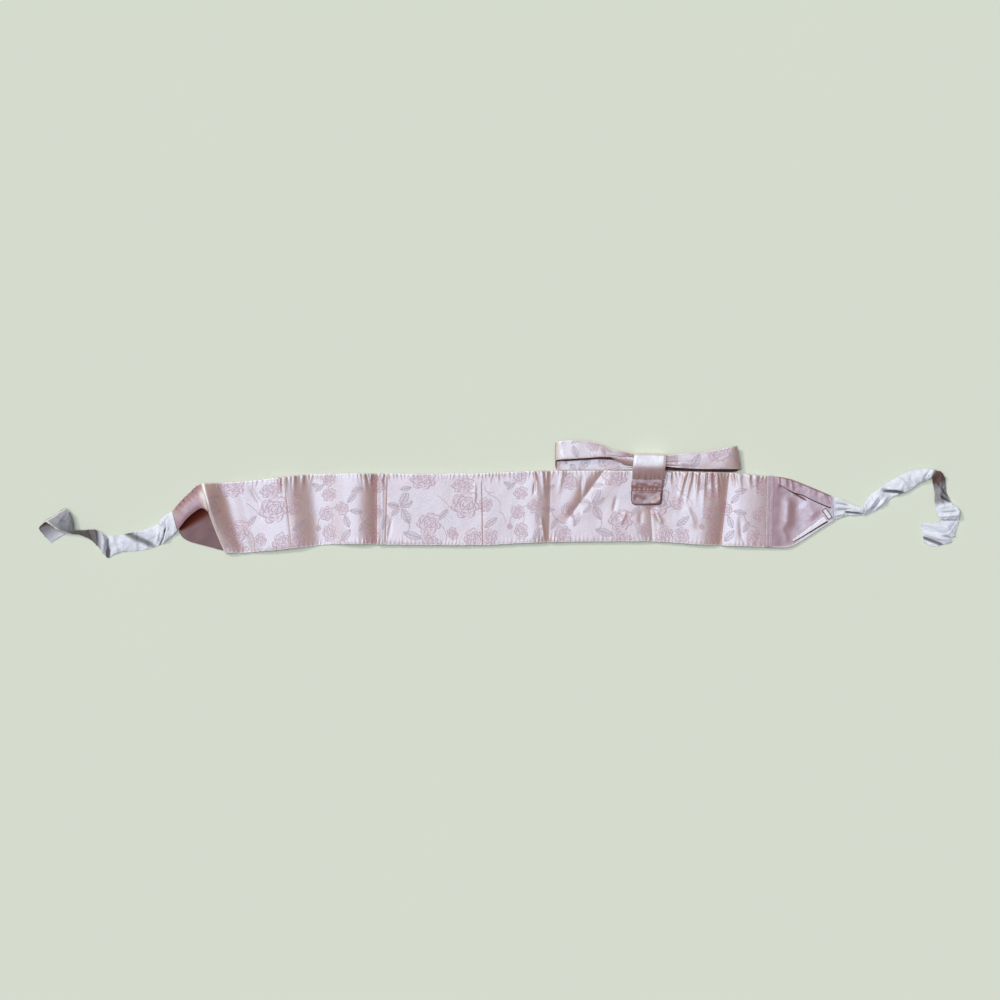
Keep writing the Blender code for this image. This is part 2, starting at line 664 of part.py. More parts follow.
def build_seam_strip(finish):
    """The narrow stitched strip between the band and the right end."""
    rows = (0.0, 0.05, 0.2, 0.5, 0.8, 0.95, 1.0)
    steps = 3
    outer = []
    inner = []
    for t in rows:
        left, right = mix(*STRIP_LEFT, t), mix(*STRIP_RIGHT, t)
        xs = [mix(left, right, k / steps) for k in range(steps + 1)]
        line = [(x, mix(whole_edge(x, "top"), whole_edge(x, "bottom"), t)) for x in xs]
        under = FRONT_FLOOR + STRIP_PUFF * plump(t)
        inner.append([(x, y, under) for x, y in line])
        outer.append([
            (x, y, under + END_WALL + STRIP_CROWN * math.sin(math.pi * k / steps))
            for k, (x, y) in enumerate(line)
        ])
    return closed_wall("seam_strip_right", outer, inner, finish)


def build_size_tab(finish):
    """The small folded loop of white tape caught in the right end's seam, with nothing on it."""
    length, width, wall = TAB_SIZE
    cos, sin = math.cos(TAB_TURN), math.sin(TAB_TURN)
    columns = []
    for k in range(5):
        u = length * (k / 4 - 0.5)
        ends = []
        for v in (width / 2, -width / 2):
            ends.append((TAB_CENTRE[0] + u * cos - v * sin, TAB_CENTRE[1] + u * sin + v * cos))
        columns.append(tuple(ends))
    return lying_on("size_tab", columns, end_top, finish, across=2, crown=0.2, wall=wall)


def build_keeper_tab(finish):
    """The strap's end, stitched down across its middle and padded by its own folded layers."""
    outer = []
    inner = []
    for row in TAB_ROWS:
        top_row = []
        under_row = []
        for k in range(TAB_STEPS + 1):
            share = k / TAB_STEPS
            x = mix(row.left, row.right, share)
            under = front_top(x, row.y) + SEAM_GAP + TAB_EASE
            swell = row.lift * min(1.0, 2.6 * math.sin(math.pi * mix(0.08, 0.92, share)))
            under_row.append((x, row.y, under))
            top_row.append((x, row.y, under + TAB_WALL + swell))
        outer.append(top_row)
        inner.append(under_row)
    return closed_wall("keeper_tab", outer, inner, finish)


def clear_scene():
    for obj in list(bpy.data.objects):
        bpy.data.objects.remove(obj)


def main():
    clear_scene()
    rose_satin = material("rose_satin", (0.72, 0.62, 0.66), 0.38)
    plain_satin = material("plain_satin", (0.60, 0.46, 0.47), 0.35)
    tape_cotton = material("tape_cotton", (0.74, 0.77, 0.82), 0.85)
    tab_tape = material("tab_tape", (0.82, 0.80, 0.80), 0.7)

    build_front(rose_satin)
    build_back(plain_satin)
    strip("end_left_roll", ROLL_LEFT, END_WALL, plain_satin, between=4, across=7)
    strip("end_left_flap", FLAP_LEFT, END_WALL, plain_satin, between=2, across=5)
    build_seam_strip(plain_satin)
    build_end_panel(plain_satin)
    build_top_pleat(plain_satin)
    build_bottom_pleat(plain_satin)
    build_size_tab(tab_tape)
    strip("tie_left", TIE_LEFT, TAPE_WALL, tape_cotton)
    strip("tie_right", TIE_RIGHT, TAPE_WALL, tape_cotton)
    strip("bow_left_loop", BOW_LEFT, BOW_WALL, rose_satin, between=3, across=5)
    strip("bow_right_loop", BOW_RIGHT, BOW_WALL, rose_satin, between=3, across=5)
    strip("bow_left_tuck", BOW_TUCK, BOW_WALL, rose_satin, between=2, across=4)
    strip("keeper_loop", KEEPER, KEEPER_WALL, plain_satin, between=2, across=4)
    build_keeper_tab(plain_satin)


main()
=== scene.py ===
"""The looks of a satin waist sash that lies flat: its gathered rose satin, folded ends, bow and ties.

Cloth is laid out in millimetres, in the frame's own axes, and becomes metres when a mesh is made.
"""

import math
import random
from collections import namedtuple

import bpy
import numpy as np
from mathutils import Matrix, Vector, noise


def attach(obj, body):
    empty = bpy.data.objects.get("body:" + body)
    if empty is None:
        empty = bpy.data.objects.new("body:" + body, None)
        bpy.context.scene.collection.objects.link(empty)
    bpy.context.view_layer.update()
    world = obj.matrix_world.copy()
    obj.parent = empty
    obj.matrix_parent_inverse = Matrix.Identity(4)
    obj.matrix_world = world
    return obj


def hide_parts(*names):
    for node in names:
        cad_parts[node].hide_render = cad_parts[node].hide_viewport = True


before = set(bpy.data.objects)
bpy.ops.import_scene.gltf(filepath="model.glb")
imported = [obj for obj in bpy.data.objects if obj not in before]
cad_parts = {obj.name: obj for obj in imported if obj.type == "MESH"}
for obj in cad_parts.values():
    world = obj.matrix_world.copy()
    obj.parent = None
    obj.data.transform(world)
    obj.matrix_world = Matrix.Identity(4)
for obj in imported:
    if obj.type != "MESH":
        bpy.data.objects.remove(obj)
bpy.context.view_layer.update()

MM = 0.001

Edge = namedtuple("Edge", "x top bottom")
Fold = namedtuple("Fold", "x_top x_bottom slope crest valley edge rim rim_width t_from t_to")
Gather = namedtuple("Gather", "x top bottom")
Height = namedtuple("Height", "t z")
Line = namedtuple("Line", "x y")
Ruling = namedtuple("Ruling", "ax ay az bx by bz arch")
Pucker = namedtuple("Pucker", "x reach height width lean")
Crease = namedtuple("Crease", "x0 y0 x1 y1 height width")
TabRow = namedtuple("TabRow", "y left right lift")
Motif = namedtuple("Motif", "kind x y length width turn")

# Walls and clearances of the cloth
SEAM_GAP = 0.3
FRONT_FLOOR = 1.3
FRONT_RISE = 1.4
SATIN_WALL = 0.7
BACK_WALL = 1.0
END_RISE = 1.2
TAPE_WALL = 0.6

# The band's long edges, from the left crease to the seam before the right end
BAND_EDGES = (
    Edge(-373.0, 19.6, -66.9),
    Edge(-324.0, 21.6, -67.0),
    Edge(-286.0, 25.6, -64.5),
    Edge(-249.0, 30.0, -60.6),
    Edge(-211.0, 31.3, -56.5),
    Edge(-174.0, 32.0, -56.6),
    Edge(-99.0, 31.6, -57.5),
    Edge(-24.0, 32.2, -57.5),
    Edge(51.0, 35.2, -54.4),
    Edge(126.0, 35.6, -53.1),
    Edge(201.0, 34.4, -53.4),
    Edge(258.0, 33.7, -57.3),
    Edge(297.0, 32.2, -58.8),
    Edge(336.5, 28.8, -60.3),
)
CREASE_LEFT = (-370.8, -341.0)
SEAM_RIGHT = (334.6, 332.4)

# Standing folds: the cloth slopes down to the line from its left, then steps up; the soft ones rise slowly
SOFT_EDGE = 4.0
WIDE_EDGE = 20.0
FOLDS = (
    Fold(-268.0, -259.0, 4.0, 0.0, 0.35, 0.4, 0.1, 4.0, -0.1, 1.1),
    Fold(-152.5, -153.0, 24.0, 1.4, 3.9, 0.6, 0.5, 10.0, -0.1, 1.1),
    Fold(-139.0, -142.0, 1.8, 0.0, 0.35, 0.4, 0.1, 9.0, -0.1, 1.1),
    Fold(-21.5, -20.0, 1.3, 0.0, 0.3, 0.4, 0.0, 3.0, -0.1, 1.1),
    Fold(64.5, 62.0, 19.0, 0.8, 1.9, 0.4, 0.2, 14.0, -0.1, 1.1),
    Fold(287.5, 277.0, 27.0, 1.0, 4.4, 0.4, -1.3, 18.0, -0.1, 1.1),
)
SOFT_FOLDS = (
    Fold(-233.0, -222.0, 34.0, 1.2, 4.2, 42.0, 0.0, 8.0, -0.1, 1.1),
    Fold(131.0, 65.0, 16.0, 0.2, 1.9, 13.0, 0.4, 26.0, -0.1, 0.82),
    Fold(186.0, 192.0, 20.0, 0.2, 1.6, 9.0, 0.1, 10.0, 0.45, 1.1),
    Fold(104.0, 98.0, 9.0, 0.2, 0.7, 5.0, 0.2, 8.0, 0.05, 0.5),
    Fold(336.0, 334.0, 30.0, 0.9, 1.0, 9.0, 0.0, 4.0, -0.1, 1.1),
)
GATHERS = (
    Gather(-364.0, 0.4, 0.3),
    Gather(-318.0, 1.0, 0.6),
    Gather(-288.0, 0.7, 0.5),
    Gather(-255.0, 1.3, 0.4),
    Gather(-222.0, 0.8, 0.5),
    Gather(-186.0, 0.9, 0.5),
    Gather(-152.0, 1.5, 1.1),
    Gather(-122.0, 0.7, 0.6),
    Gather(-60.0, 0.5, 0.5),
    Gather(-8.0, 1.0, 0.4),
    Gather(24.0, 1.1, 0.4),
    Gather(62.0, 0.9, 1.0),
    Gather(100.0, 0.5, 0.5),
    Gather(170.0, 0.6, 0.5),
    Gather(228.0, 1.4, 0.4),
    Gather(282.0, 1.5, 0.6),
    Gather(310.0, 0.9, 0.5),
    Gather(336.5, 0.8, 0.5),
)
# The larger puckers that run down from the upper edge
PUCKERS = (
    Pucker(-275.0, 16.0, 1.1, 2.2, 0.10),
    Pucker(-268.5, 22.0, 0.9, 1.8, 0.08),
    Pucker(-256.0, 14.0, 0.8, 2.0, 0.0),
    Pucker(-246.0, 12.0, 0.9, 2.0, 0.0),
    Pucker(-168.0, 14.0, 1.0, 2.0, 0.1),
    Pucker(-160.0, 12.0, 0.9, 1.8, 0.0),
    Pucker(-146.0, 20.0, 0.6, 1.7, 0.0),
    Pucker(44.0, 18.0, 1.0, 2.0, 0.15),
    Pucker(54.0, 22.0, 0.9, 2.2, 0.1),
    Pucker(60.0, 14.0, 0.8, 1.8, 0.0),
    Pucker(80.0, 20.0, 0.8, 2.6, -0.2),
    Pucker(213.0, 12.0, 0.9, 2.0, 0.1),
    Pucker(233.0, 26.0, 1.4, 2.4, -0.25),
    Pucker(240.5, 30.0, 1.2, 2.2, -0.2),
    Pucker(249.0, 22.0, 1.5, 2.2, -0.1),
    Pucker(257.0, 30.0, 1.3, 2.4, -0.05),
    Pucker(265.0, 20.0, 1.4, 2.2, 0.0),
    Pucker(272.5, 26.0, 1.2, 2.2, 0.05),
    Pucker(292.0, 14.0, 1.0, 2.0, 0.1),
    Pucker(300.0, 16.0, 0.9, 2.0, 0.1),
    Pucker(312.0, 12.0, 0.9, 2.0, 0.1),
    Pucker(321.0, 14.0, 0.8, 2.0, 0.0),
)
# Small creases across the band: from one point to another, a ridge (or a furrow, if below 0)
CREASES = (
    Crease(147.5, 5.0, 142.5, -17.5, -0.5, 2.4),
    Crease(160.0, -14.0, 150.0, -34.0, 0.7, 2.6),
    Crease(178.0, -13.0, 176.0, -34.0, -0.45, 3.2),
    Crease(193.0, -13.0, 205.0, -33.0, 0.8, 2.6),
    Crease(203.0, -8.0, 222.0, -22.0, -0.2, 3.6),
    Crease(46.0, 26.0, 43.0, 4.0, -0.7, 1.6),
    Crease(52.0, -20.0, 57.0, -52.0, 0.8, 2.2),
    Crease(80.0, -12.0, 96.0, -30.0, 0.7, 3.0),
    Crease(-144.5, 26.0, -146.0, -52.0, 0.15, 1.5),
    Crease(-133.0, -20.0, -139.0, -54.0, -0.4, 1.8),
    Crease(-312.0, 16.0, -296.0, -10.0, -0.5, 2.4),
    Crease(-30.0, 24.0, -30.5, -8.0, 0.4, 1.6),
    Crease(232.0, -4.0, 246.0, -40.0, 0.7, 4.0),
    Crease(300.0, -20.0, 304.0, -54.0, -0.5, 3.0),
)
CREASE_HEIGHTS = (
    Height(0.0, 4.6),
    Height(0.1, 8.2),
    Height(0.2, 10.2),
    Height(0.3, 10.8),
    Height(0.42, 9.8),
    Height(0.6, 8.0),
    Height(0.8, 6.0),
    Height(1.0, 4.0),
)
CREASE_SLOPE = 40.0
# The crease's own rounded lip, from its outer rim back to its top: steps along x and down
CREASE_LIP = ((-1.7, -3.4), (-1.6, -2.2), (-1.25, -1.3), (-0.8, -0.66), (-0.4, -0.28))
CREASE_ROUND = (2.6, 0.8)
# The hollow to the right of the crease: its depth, how far off its bottom is, and where it ends
CREASE_HOLLOW = (3.8, 22.0, 26.0)
CREASE_BOW = 3.0
CREASE_BOW_REACH = 70.0
PUFF = 3.2
PUFF_REACH = 5.0
PUFF_ROUNDNESS = 2.4
PUFF_WALL = 0.93
WALL_INSET = 0.1

ROLL_LEFT = (
    Ruling(-371.5, 19.0, 3.0, -362.6, -16.4, 12.4, 4.6),
    Ruling(-378.5, 15.5, 1.0, -370.0, -11.6, 9.8, 4.0),
    Ruling(-387.5, 7.0, 0.9, -377.0, -14.0, 9.0, 4.2),
    Ruling(-398.8, -4.6, 0.9, -389.4, -24.2, 8.0, 4.0),
    Ruling(-408.0, -15.0, 2.0, -401.4, -39.0, 5.6, 2.6),
)
# Puckers of the roll along its upper edge: share along it, width, height and reach
ROLL_PUCKERS = (
    (0.24, 0.03, 0.8, 0.30), (0.36, 0.03, 0.9, 0.34), (0.52, 0.03, 0.7, 0.28), (0.62, 0.035, 1.1, 0.40),
    (0.72, 0.03, 0.9, 0.36), (0.84, 0.03, 0.6, 0.30),
)
FLAP_LEFT = (
    Ruling(-399.8, -34.5, 1.2, -399.8, -41.5, 1.2, 0.0),
    Ruling(-391.0, -21.0, 2.4, -394.6, -48.6, 2.0, 0.2),
    Ruling(-380.0, -9.5, 4.0, -385.0, -53.4, 2.0, 0.2),
    Ruling(-369.5, -4.0, 5.6, -372.0, -57.0, 1.8, 0.2),
    Ruling(-360.0, -3.0, 5.6, -360.0, -60.2, 1.6, 0.2),
    Ruling(-355.0, -4.0, 5.0, -346.0, -64.0, 1.2, 0.2),
    Ruling(-350.9, -4.0, 4.0, -332.8, -65.6, 0.6, 0.0),
)
END_EDGES = (
    Edge(341.0, 28.8, -60.4),
    Edge(348.0, 28.0, -60.7),
    Edge(357.5, 26.6, -60.7),
    Edge(366.3, 24.4, -58.9),
    Edge(376.3, 20.7, -53.2),
    Edge(388.8, 15.6, -45.2),
    Edge(401.3, 10.4, -37.0),
    Edge(412.5, 5.4, -30.0),
    Edge(417.5, 3.1, -27.0),
)
TOP_PLEAT_FOLD = (
    Line(348.0, 19.6),
    Line(360.0, 11.4),
    Line(368.8, 6.9),
    Line(379.3, 4.0),
    Line(390.6, -1.6),
    Line(407.3, -9.0),
    Line(414.5, -11.6),
)
BOTTOM_PLEAT_FOLD = (
    Line(366.0, -51.0),
    Line(380.0, -40.8),
    Line(394.0, -30.4),
    Line(405.4, -22.0),
    Line(411.5, -22.0),
)
TOP_PLEAT_INSET = 0.4
BOTTOM_PLEAT_UPPER_X = (366.5, 405.4)
BOTTOM_PLEAT_LOWER_X = (367.5, 411.0)
BOTTOM_PLEAT_RISE = (4.6, 2.2)
BOTTOM_PLEAT_LEAST = 1.2
STRIP_LEFT = (334.75, 332.55)
STRIP_RIGHT = (343.6, 341.1)
PANEL_LEFT = (343.75, 341.25)
TAB_CENTRE = (409.9, -18.6)
TAB_SIZE = (14.5, 6.0)
TAB_TURN = math.radians(-54.0)
# Soft swellings of the right end's panel: where they run, how high and how wide
END_SWELLS = (
    Crease(361.5, 6.0, 358.5, -42.0, 2.0, 7.0),
    Crease(379.0, -2.0, 398.0, -24.0, 1.0, 8.0),
    Crease(350.0, -30.0, 362.0, -56.0, 0.7, 4.0),
    Crease(349.0, 30.0, 349.5, 13.0, 1.3, 2.2),
)
# Fine slits where the right end's cloth is folded under: a shallow groove, with painted shade along it
END_SLITS = (
    Crease(366.0, 8.4, 386.0, -2.6, 1.4, 0.8),
    Crease(404.0, -6.0, 414.0, -11.0, 1.2, 0.8),
)
END_PUCKERS = (
    Pucker(346.5, 16.0, 0.9, 1.6, 0.0),
    Pucker(351.0, 13.0, -0.6, 1.8, 0.0),
    Pucker(358.0, 12.0, 0.6, 1.8, 0.1),
    Pucker(364.5, 17.0, 0.9, 1.5, 0.15),
    Pucker(373.0, 9.0, 0.4, 3.0, 0.2),
    Pucker(379.0, 12.0, -0.4, 2.2, 0.2),
    Pucker(387.0, 13.0, 0.5, 3.2, 0.25),
    Pucker(397.0, 10.0, -0.4, 2.6, 0.25),
    Pucker(405.0, 14.0, 0.7, 2.4, 0.25),
    Pucker(411.0, 12.0, -0.6, 1.5, 0.25),
)

TIE_LEFT = (
    Ruling(-408.5, -15.2, 2.0, -402.0, -39.6, 5.0, 2.4),
    Ruling(-416.3, -20.0, 2.6, -410.0, -47.5, 2.6, 3.0),
    Ruling(-422.6, -25.2, 5.2, -416.3, -52.2, 4.4, 1.0),
    Ruling(-427.0, -31.6, 0.8, -422.8, -57.0, 0.6, 0.4),
    Ruling(-439.4, -36.9, 1.4, -437.5, -62.5, 0.6, 3.0),
    Ruling(-450.0, -40.0, 3.4, -448.8, -64.4, 0.6, 0.6),
    Ruling(-460.0, -42.5, 5.6, -460.0, -65.6, 0.6, 2.0),
    Ruling(-475.0, -45.0, 2.4, -473.8, -66.9, 0.6, 1.6),
    Ruling(-483.8, -46.3, 4.4, -482.5, -70.6, 0.6, 1.0),
    Ruling(-489.8, -46.6, 1.0, -488.4, -73.6, 0.6, 0.4),
    Ruling(-495.4, -43.4, 9.0, -493.8, -68.4, 6.0, 0.6),
    Ruling(-501.3, -39.4, 6.4, -500.4, -60.0, 1.0, 2.0),
    Ruling(-507.5, -38.1, 9.6, -507.5, -53.8, 0.8, 2.4),
    Ruling(-516.3, -38.6, 11.4, -515.6, -47.8, 0.8, 2.6),
    Ruling(-524.8, -38.8, 12.0, -524.4, -44.4, 1.0, 2.2),
    Ruling(-531.6, -37.8, 11.0, -532.4, -43.0, 2.4, 1.2),
    Ruling(-531.8, -31.8, 8.0, -541.6, -41.6, 6.2, 1.6),
    Ruling(-533.6, -23.6, 8.4, -552.5, -37.4, 8.6, 2.4),
    Ruling(-537.4, -15.4, 10.4, -561.4, -31.2, 10.2, 1.0),
    Ruling(-541.2, -11.6, 9.0, -566.6, -28.8, 8.4, 0.4),
    Ruling(-541.4, -12.6, 5.0, -570.4, -31.4, 4.4, 0.2),
    Ruling(-540.6, -17.6, 1.6, -575.0, -37.2, 1.4, 0.2),
    Ruling(-540.6, -28.0, 0.6, -569.0, -45.2, 0.6, 0.0),
    Ruling(-538.3, -40.6, 0.5, -560.6, -54.2, 0.5, 0.0),
)
TIE_RIGHT = (
    Ruling(417.9, 2.9, 3.0, 417.8, -26.4, 3.0, 1.2),
    Ruling(427.5, 0.4, 3.0, 428.1, -22.9, 1.4, 2.2),
    Ruling(436.3, -4.6, 5.0, 435.8, -20.8, 0.8, 3.4),
    Ruling(445.0, -7.9, 7.0, 445.0, -21.3, 0.8, 3.6),
    Ruling(452.8, -10.6, 8.0, 454.4, -20.4, 0.8, 2.6),
    Ruling(457.4, -3.4, 5.0, 462.4, -17.8, 0.8, 3.4),
    Ruling(464.4, 5.6, 3.0, 473.4, -12.9, 0.8, 3.4),
    Ruling(474.6, 12.5, 4.0, 484.6, -5.0, 0.8, 2.4),
    Ruling(481.6, 17.8, 5.0, 492.8, 2.6, 1.0, 1.0),
    Ruling(486.6, 21.4, 6.4, 502.4, 7.2, 6.0, 1.0),
    Ruling(501.2, 29.4, 4.4, 514.6, 12.0, 3.0, 3.0),
    Ruling(517.5, 36.3, 5.0, 526.3, 19.8, 3.0, 3.0),
    Ruling(532.0, 37.9, 8.0, 536.0, 24.8, 5.6, 2.0),
    Ruling(543.4, 36.6, 9.4, 539.4, 26.6, 7.4, 1.4),
    Ruling(552.0, 33.6, 8.2, 540.4, 26.4, 7.0, 1.0),
    Ruling(556.6, 27.6, 4.4, 541.4, 22.6, 3.4, 1.2),
    Ruling(558.2, 20.4, 1.4, 542.6, 16.6, 1.6, 2.4),
    Ruling(558.8, 11.4, 0.6, 544.2, 7.6, 3.6, 3.4),
    Ruling(562.5, 1.9, 0.6, 544.2, -1.6, 3.6, 3.4),
    Ruling(567.5, -5.6, 0.6, 545.2, -10.4, 2.4, 2.6),
    Ruling(574.2, -11.8, 5.0, 548.8, -20.0, 5.0, 2.0),
    Ruling(576.0, -19.6, 4.0, 551.2, -24.8, 4.4, 3.0),
    Ruling(574.6, -27.8, 1.6, 552.0, -27.6, 4.0, 1.6),
    Ruling(571.8, -39.0, 0.6, 551.6, -28.9, 4.0, 2.0),
    Ruling(566.0, -53.0, 0.6, 549.8, -29.6, 3.8, 2.0),
    Ruling(554.4, -57.5, 0.6, 545.0, -30.0, 2.8, 2.0),
    Ruling(541.3, -59.2, 0.6, 536.6, -30.6, 1.6, 1.6),
    Ruling(530.8, -54.6, 0.5, 527.2, -30.8, 0.5, 0.6),
)
# Pressed creases of the ties, and how much of the greyer reverse and of painted shade shows along the rulings
TIE_LEFT_CREASES = (
    Crease(-414.5, -32.0, -426.0, -63.0, -4.6, 1.0),
    Crease(-421.5, -28.0, -429.5, -58.0, 1.6, 1.6),
    Crease(-429.0, -24.0, -410.0, -40.0, 1.4, 1.6),
    Crease(-436.0, -34.0, -416.0, -26.0, -1.2, 1.6),
    Crease(-412.0, -18.0, -424.0, -34.0, 1.0, 1.4),
    Crease(-482.0, -34.0, -418.0, -66.0, -2.3, 4.8),
    Crease(-456.0, -38.0, -424.0, -47.0, 1.4, 3.6),
    Crease(-484.0, -46.0, -474.0, -72.0, 1.2, 2.4),
    Crease(-489.6, -42.0, -487.4, -80.0, -2.0, 1.1),
    Crease(-488.4, -57.0, -487.0, -90.0, -2.2, 2.3),
    Crease(-494.5, -42.0, -494.5, -76.0, 2.2, 1.4),
    Crease(-505.0, -36.0, -502.0, -62.0, 1.4, 1.6),
    Crease(-514.0, -36.0, -508.0, -58.0, -1.0, 1.6),
    Crease(-540.0, -16.0, -556.0, -36.0, 0.8, 2.0),
    Crease(-556.0, -20.0, -536.0, -32.0, -0.8, 2.2),
    Crease(-570.0, -32.0, -541.0, -44.0, 1.2, 2.4),
)
TIE_RIGHT_CREASES = (
    Crease(417.0, 0.0, 442.0, -5.0, 1.5, 1.1),
    Crease(417.0, -4.0, 440.0, -8.0, -1.5, 1.1),
    Crease(417.0, -10.0, 444.0, -11.0, 1.6, 1.1),
    Crease(417.0, -14.0, 438.0, -13.5, -1.4, 1.1),
    Crease(417.0, -21.0, 434.0, -17.0, 1.4, 1.2),
    Crease(428.0, -16.0, 458.0, -20.0, -3.4, 1.4),
    Crease(436.0, 0.0, 450.0, -10.0, -1.8, 1.4),
    Crease(458.0, -16.0, 476.0, 6.0, 1.8, 1.5),
    Crease(463.0, -18.0, 480.0, 2.0, -2.0, 1.4),
    Crease(471.0, -12.0, 486.0, 4.0, 1.6, 1.4),
    Crease(474.0, 11.0, 514.0, 5.5, -3.4, 1.7),
    Crease(484.0, 9.5, 512.0, 7.5, -2.4, 2.4),
    Crease(470.0, 14.5, 506.0, 11.5, 1.8, 1.8),
    Crease(478.0, 16.0, 506.0, 34.0, -1.3, 1.6),
    Crease(494.0, 30.0, 514.0, 12.0, 1.6, 1.8),
    Crease(500.0, 30.0, 520.0, 14.0, -1.4, 1.5),
    Crease(510.0, 36.0, 520.0, 16.0, -1.3, 1.6),
    Crease(522.0, 40.0, 532.0, 22.0, 1.4, 1.6),
    Crease(530.0, 24.0, 540.0, 40.0, -1.2, 1.4),
    Crease(543.0, 26.0, 564.0, 0.0, -2.0, 1.6),
    Crease(546.0, 14.0, 556.0, -10.0, 1.8, 1.6),
    Crease(547.0, 6.0, 568.0, -5.0, -2.4, 1.5),
    Crease(552.0, 22.0, 550.0, -4.0, 1.4, 1.6),
    Crease(546.0, -12.0, 578.0, -8.0, 2.0, 1.6),
    Crease(546.0, -17.0, 580.0, -14.0, -1.7, 1.5),
    Crease(548.0, -22.0, 580.0, -19.0, 1.8, 1.6),
    Crease(546.0, -27.0, 580.0, -27.0, -1.6, 1.4),
    Crease(522.0, -45.0, 562.0, -61.0, -3.6, 2.2),
    Crease(524.0, -40.0, 572.0, -56.0, 1.6, 1.8),
    Crease(530.0, -33.0, 570.0, -48.0, -1.0, 2.2),
    Crease(556.0, -30.0, 574.0, -54.0, 1.2, 2.0),
    Crease(552.0, -46.0, 574.0, -50.0, -1.8, 1.4),
)
# Painted shade and the greyer reverse of each tie, along its rulings
TIE_LEFT_REVERSE_AND_PAINTED_SHADE = (
    Height(0.0, 0.0), Height(9.0, 0.05), Height(10.4, 0.25), Height(11.6, 0.7), Height(15.0, 0.75),
    Height(16.4, 0.5), Height(19.4, 0.45), Height(20.4, 0.95), Height(21.4, 0.6), Height(23.0, 0.2),
)
TIE_RIGHT_REVERSE_AND_PAINTED_SHADE = (
    Height(0.0, 0.1), Height(1.4, 0.12), Height(2.6, 0.0), Height(12.6, 0.0), Height(13.6, 1.0),
    Height(15.4, 0.95), Height(16.4, 0.5), Height(18.2, 0.4), Height(19.2, 0.0), Height(27.0, 0.0),
)
BOW_LEFT = (
    Ruling(187.1, 53.2, 11.8, 187.1, 42.0, 11.6, 0.7),
    Ruling(168.8, 55.4, 12.0, 168.8, 52.2, 11.6, 0.5),
    Ruling(157.5, 58.4, 11.8, 156.3, 53.6, 11.6, 0.5),
    Ruling(141.3, 61.5, 11.6, 140.0, 52.2, 12.0, 0.5),
    Ruling(126.3, 68.0, 11.4, 125.0, 52.2, 12.4, 0.5),
    Ruling(107.5, 72.4, 11.2, 106.3, 51.0, 12.6, 0.5),
    Ruling(86.3, 73.0, 11.0, 86.3, 49.8, 12.6, 0.5),
    Ruling(76.0, 72.2, 10.6, 76.3, 49.3, 12.0, 0.4),
    Ruling(70.8, 70.6, 7.4, 70.4, 47.4, 8.2, 0.0),
    Ruling(71.6, 67.5, 2.6, 71.0, 38.4, 2.4, 0.0),
    Ruling(77.5, 66.3, 0.9, 77.5, 36.5, 1.4, 0.0),
    Ruling(126.3, 63.6, 0.9, 126.3, 36.6, 1.6, 0.0),
    Ruling(160.0, 56.0, 1.4, 160.0, 36.7, 1.8, 0.0),
    Ruling(170.0, 53.6, 2.6, 170.0, 37.4, 2.6, 0.0),
    Ruling(187.1, 53.0, 2.6, 187.1, 38.0, 2.6, 0.0),
)
BOW_RIGHT = (
    Ruling(188.0, 53.4, 11.8, 188.0, 42.0, 11.6, 0.7),
    Ruling(207.5, 54.0, 11.8, 207.5, 40.6, 11.6, 0.7),
    Ruling(226.3, 56.2, 11.4, 226.3, 38.8, 11.6, 0.6),
    Ruling(251.3, 58.2, 11.2, 251.3, 37.6, 11.4, 0.6),
    Ruling(270.0, 61.0, 11.2, 271.3, 37.4, 11.2, 0.6),
    Ruling(286.3, 64.6, 11.0, 288.8, 37.4, 10.6, 0.5),
    Ruling(294.6, 66.2, 9.8, 298.4, 37.2, 8.8, 0.4),
    Ruling(297.6, 65.6, 7.0, 302.4, 37.0, 5.4, 0.0),
    Ruling(295.8, 63.0, 2.8, 299.6, 36.0, 2.4, 0.0),
    Ruling(288.8, 61.4, 0.7, 290.8, 33.8, 0.7, 0.0),
    Ruling(251.3, 56.2, 0.7, 251.3, 34.6, 0.7, 0.0),
    Ruling(218.0, 53.6, 1.4, 218.0, 35.6, 1.4, 0.0),
    Ruling(206.0, 53.0, 2.6, 206.0, 36.6, 2.6, 0.0),
    Ruling(188.0, 52.6, 2.6, 188.0, 38.0, 2.6, 0.0),
)
# Where the opening of each loop gets painted shade: above this line
LEFT_OPENING = (
    Line(60.0, 48.0), Line(86.3, 48.2), Line(106.3, 49.4), Line(125.0, 50.4), Line(142.0, 49.6),
    Line(156.0, 48.0), Line(190.0, 46.0),
)
RIGHT_OPENING = (Line(180.0, 20.0), Line(310.0, 20.0))
BOW_TUCK = (
    Ruling(140.0, 52.8, 8.8, 140.0, 51.4, 8.2, 0.1),
    Ruling(148.0, 53.6, 9.4, 148.0, 47.6, 8.0, 0.6),
    Ruling(157.0, 54.2, 9.8, 157.0, 43.4, 7.6, 0.9),
    Ruling(168.4, 53.0, 10.0, 168.4, 41.0, 7.4, 0.9),
)
KEEPER = (
    Ruling(166.2, 24.8, 10.4, 206.8, 24.8, 10.4, 0.0),
    Ruling(166.4, 31.6, 13.6, 207.0, 31.6, 13.6, 0.0),
    Ruling(166.7, 38.6, 15.6, 207.3, 38.2, 15.6, 0.0),
    Ruling(167.4, 44.0, 16.3, 207.9, 43.6, 16.3, 0.0),
    Ruling(168.2, 50.0, 16.3, 208.5, 49.4, 16.3, 0.0),
    Ruling(168.8, 55.6, 15.7, 208.8, 55.0, 15.7, 0.0),
    Ruling(169.0, 57.0, 12.0, 208.9, 56.4, 12.0, 0.0),
    Ruling(169.0, 57.0, 5.0, 208.9, 56.4, 5.0, 0.0),
    Ruling(169.0, 54.6, 0.8, 208.9, 54.2, 0.8, 0.0),
    Ruling(169.0, 50.0, 0.6, 208.9, 50.0, 0.6, 0.0),
    Ruling(169.0, 38.0, 0.6, 208.9, 38.0, 0.6, 0.0),
)
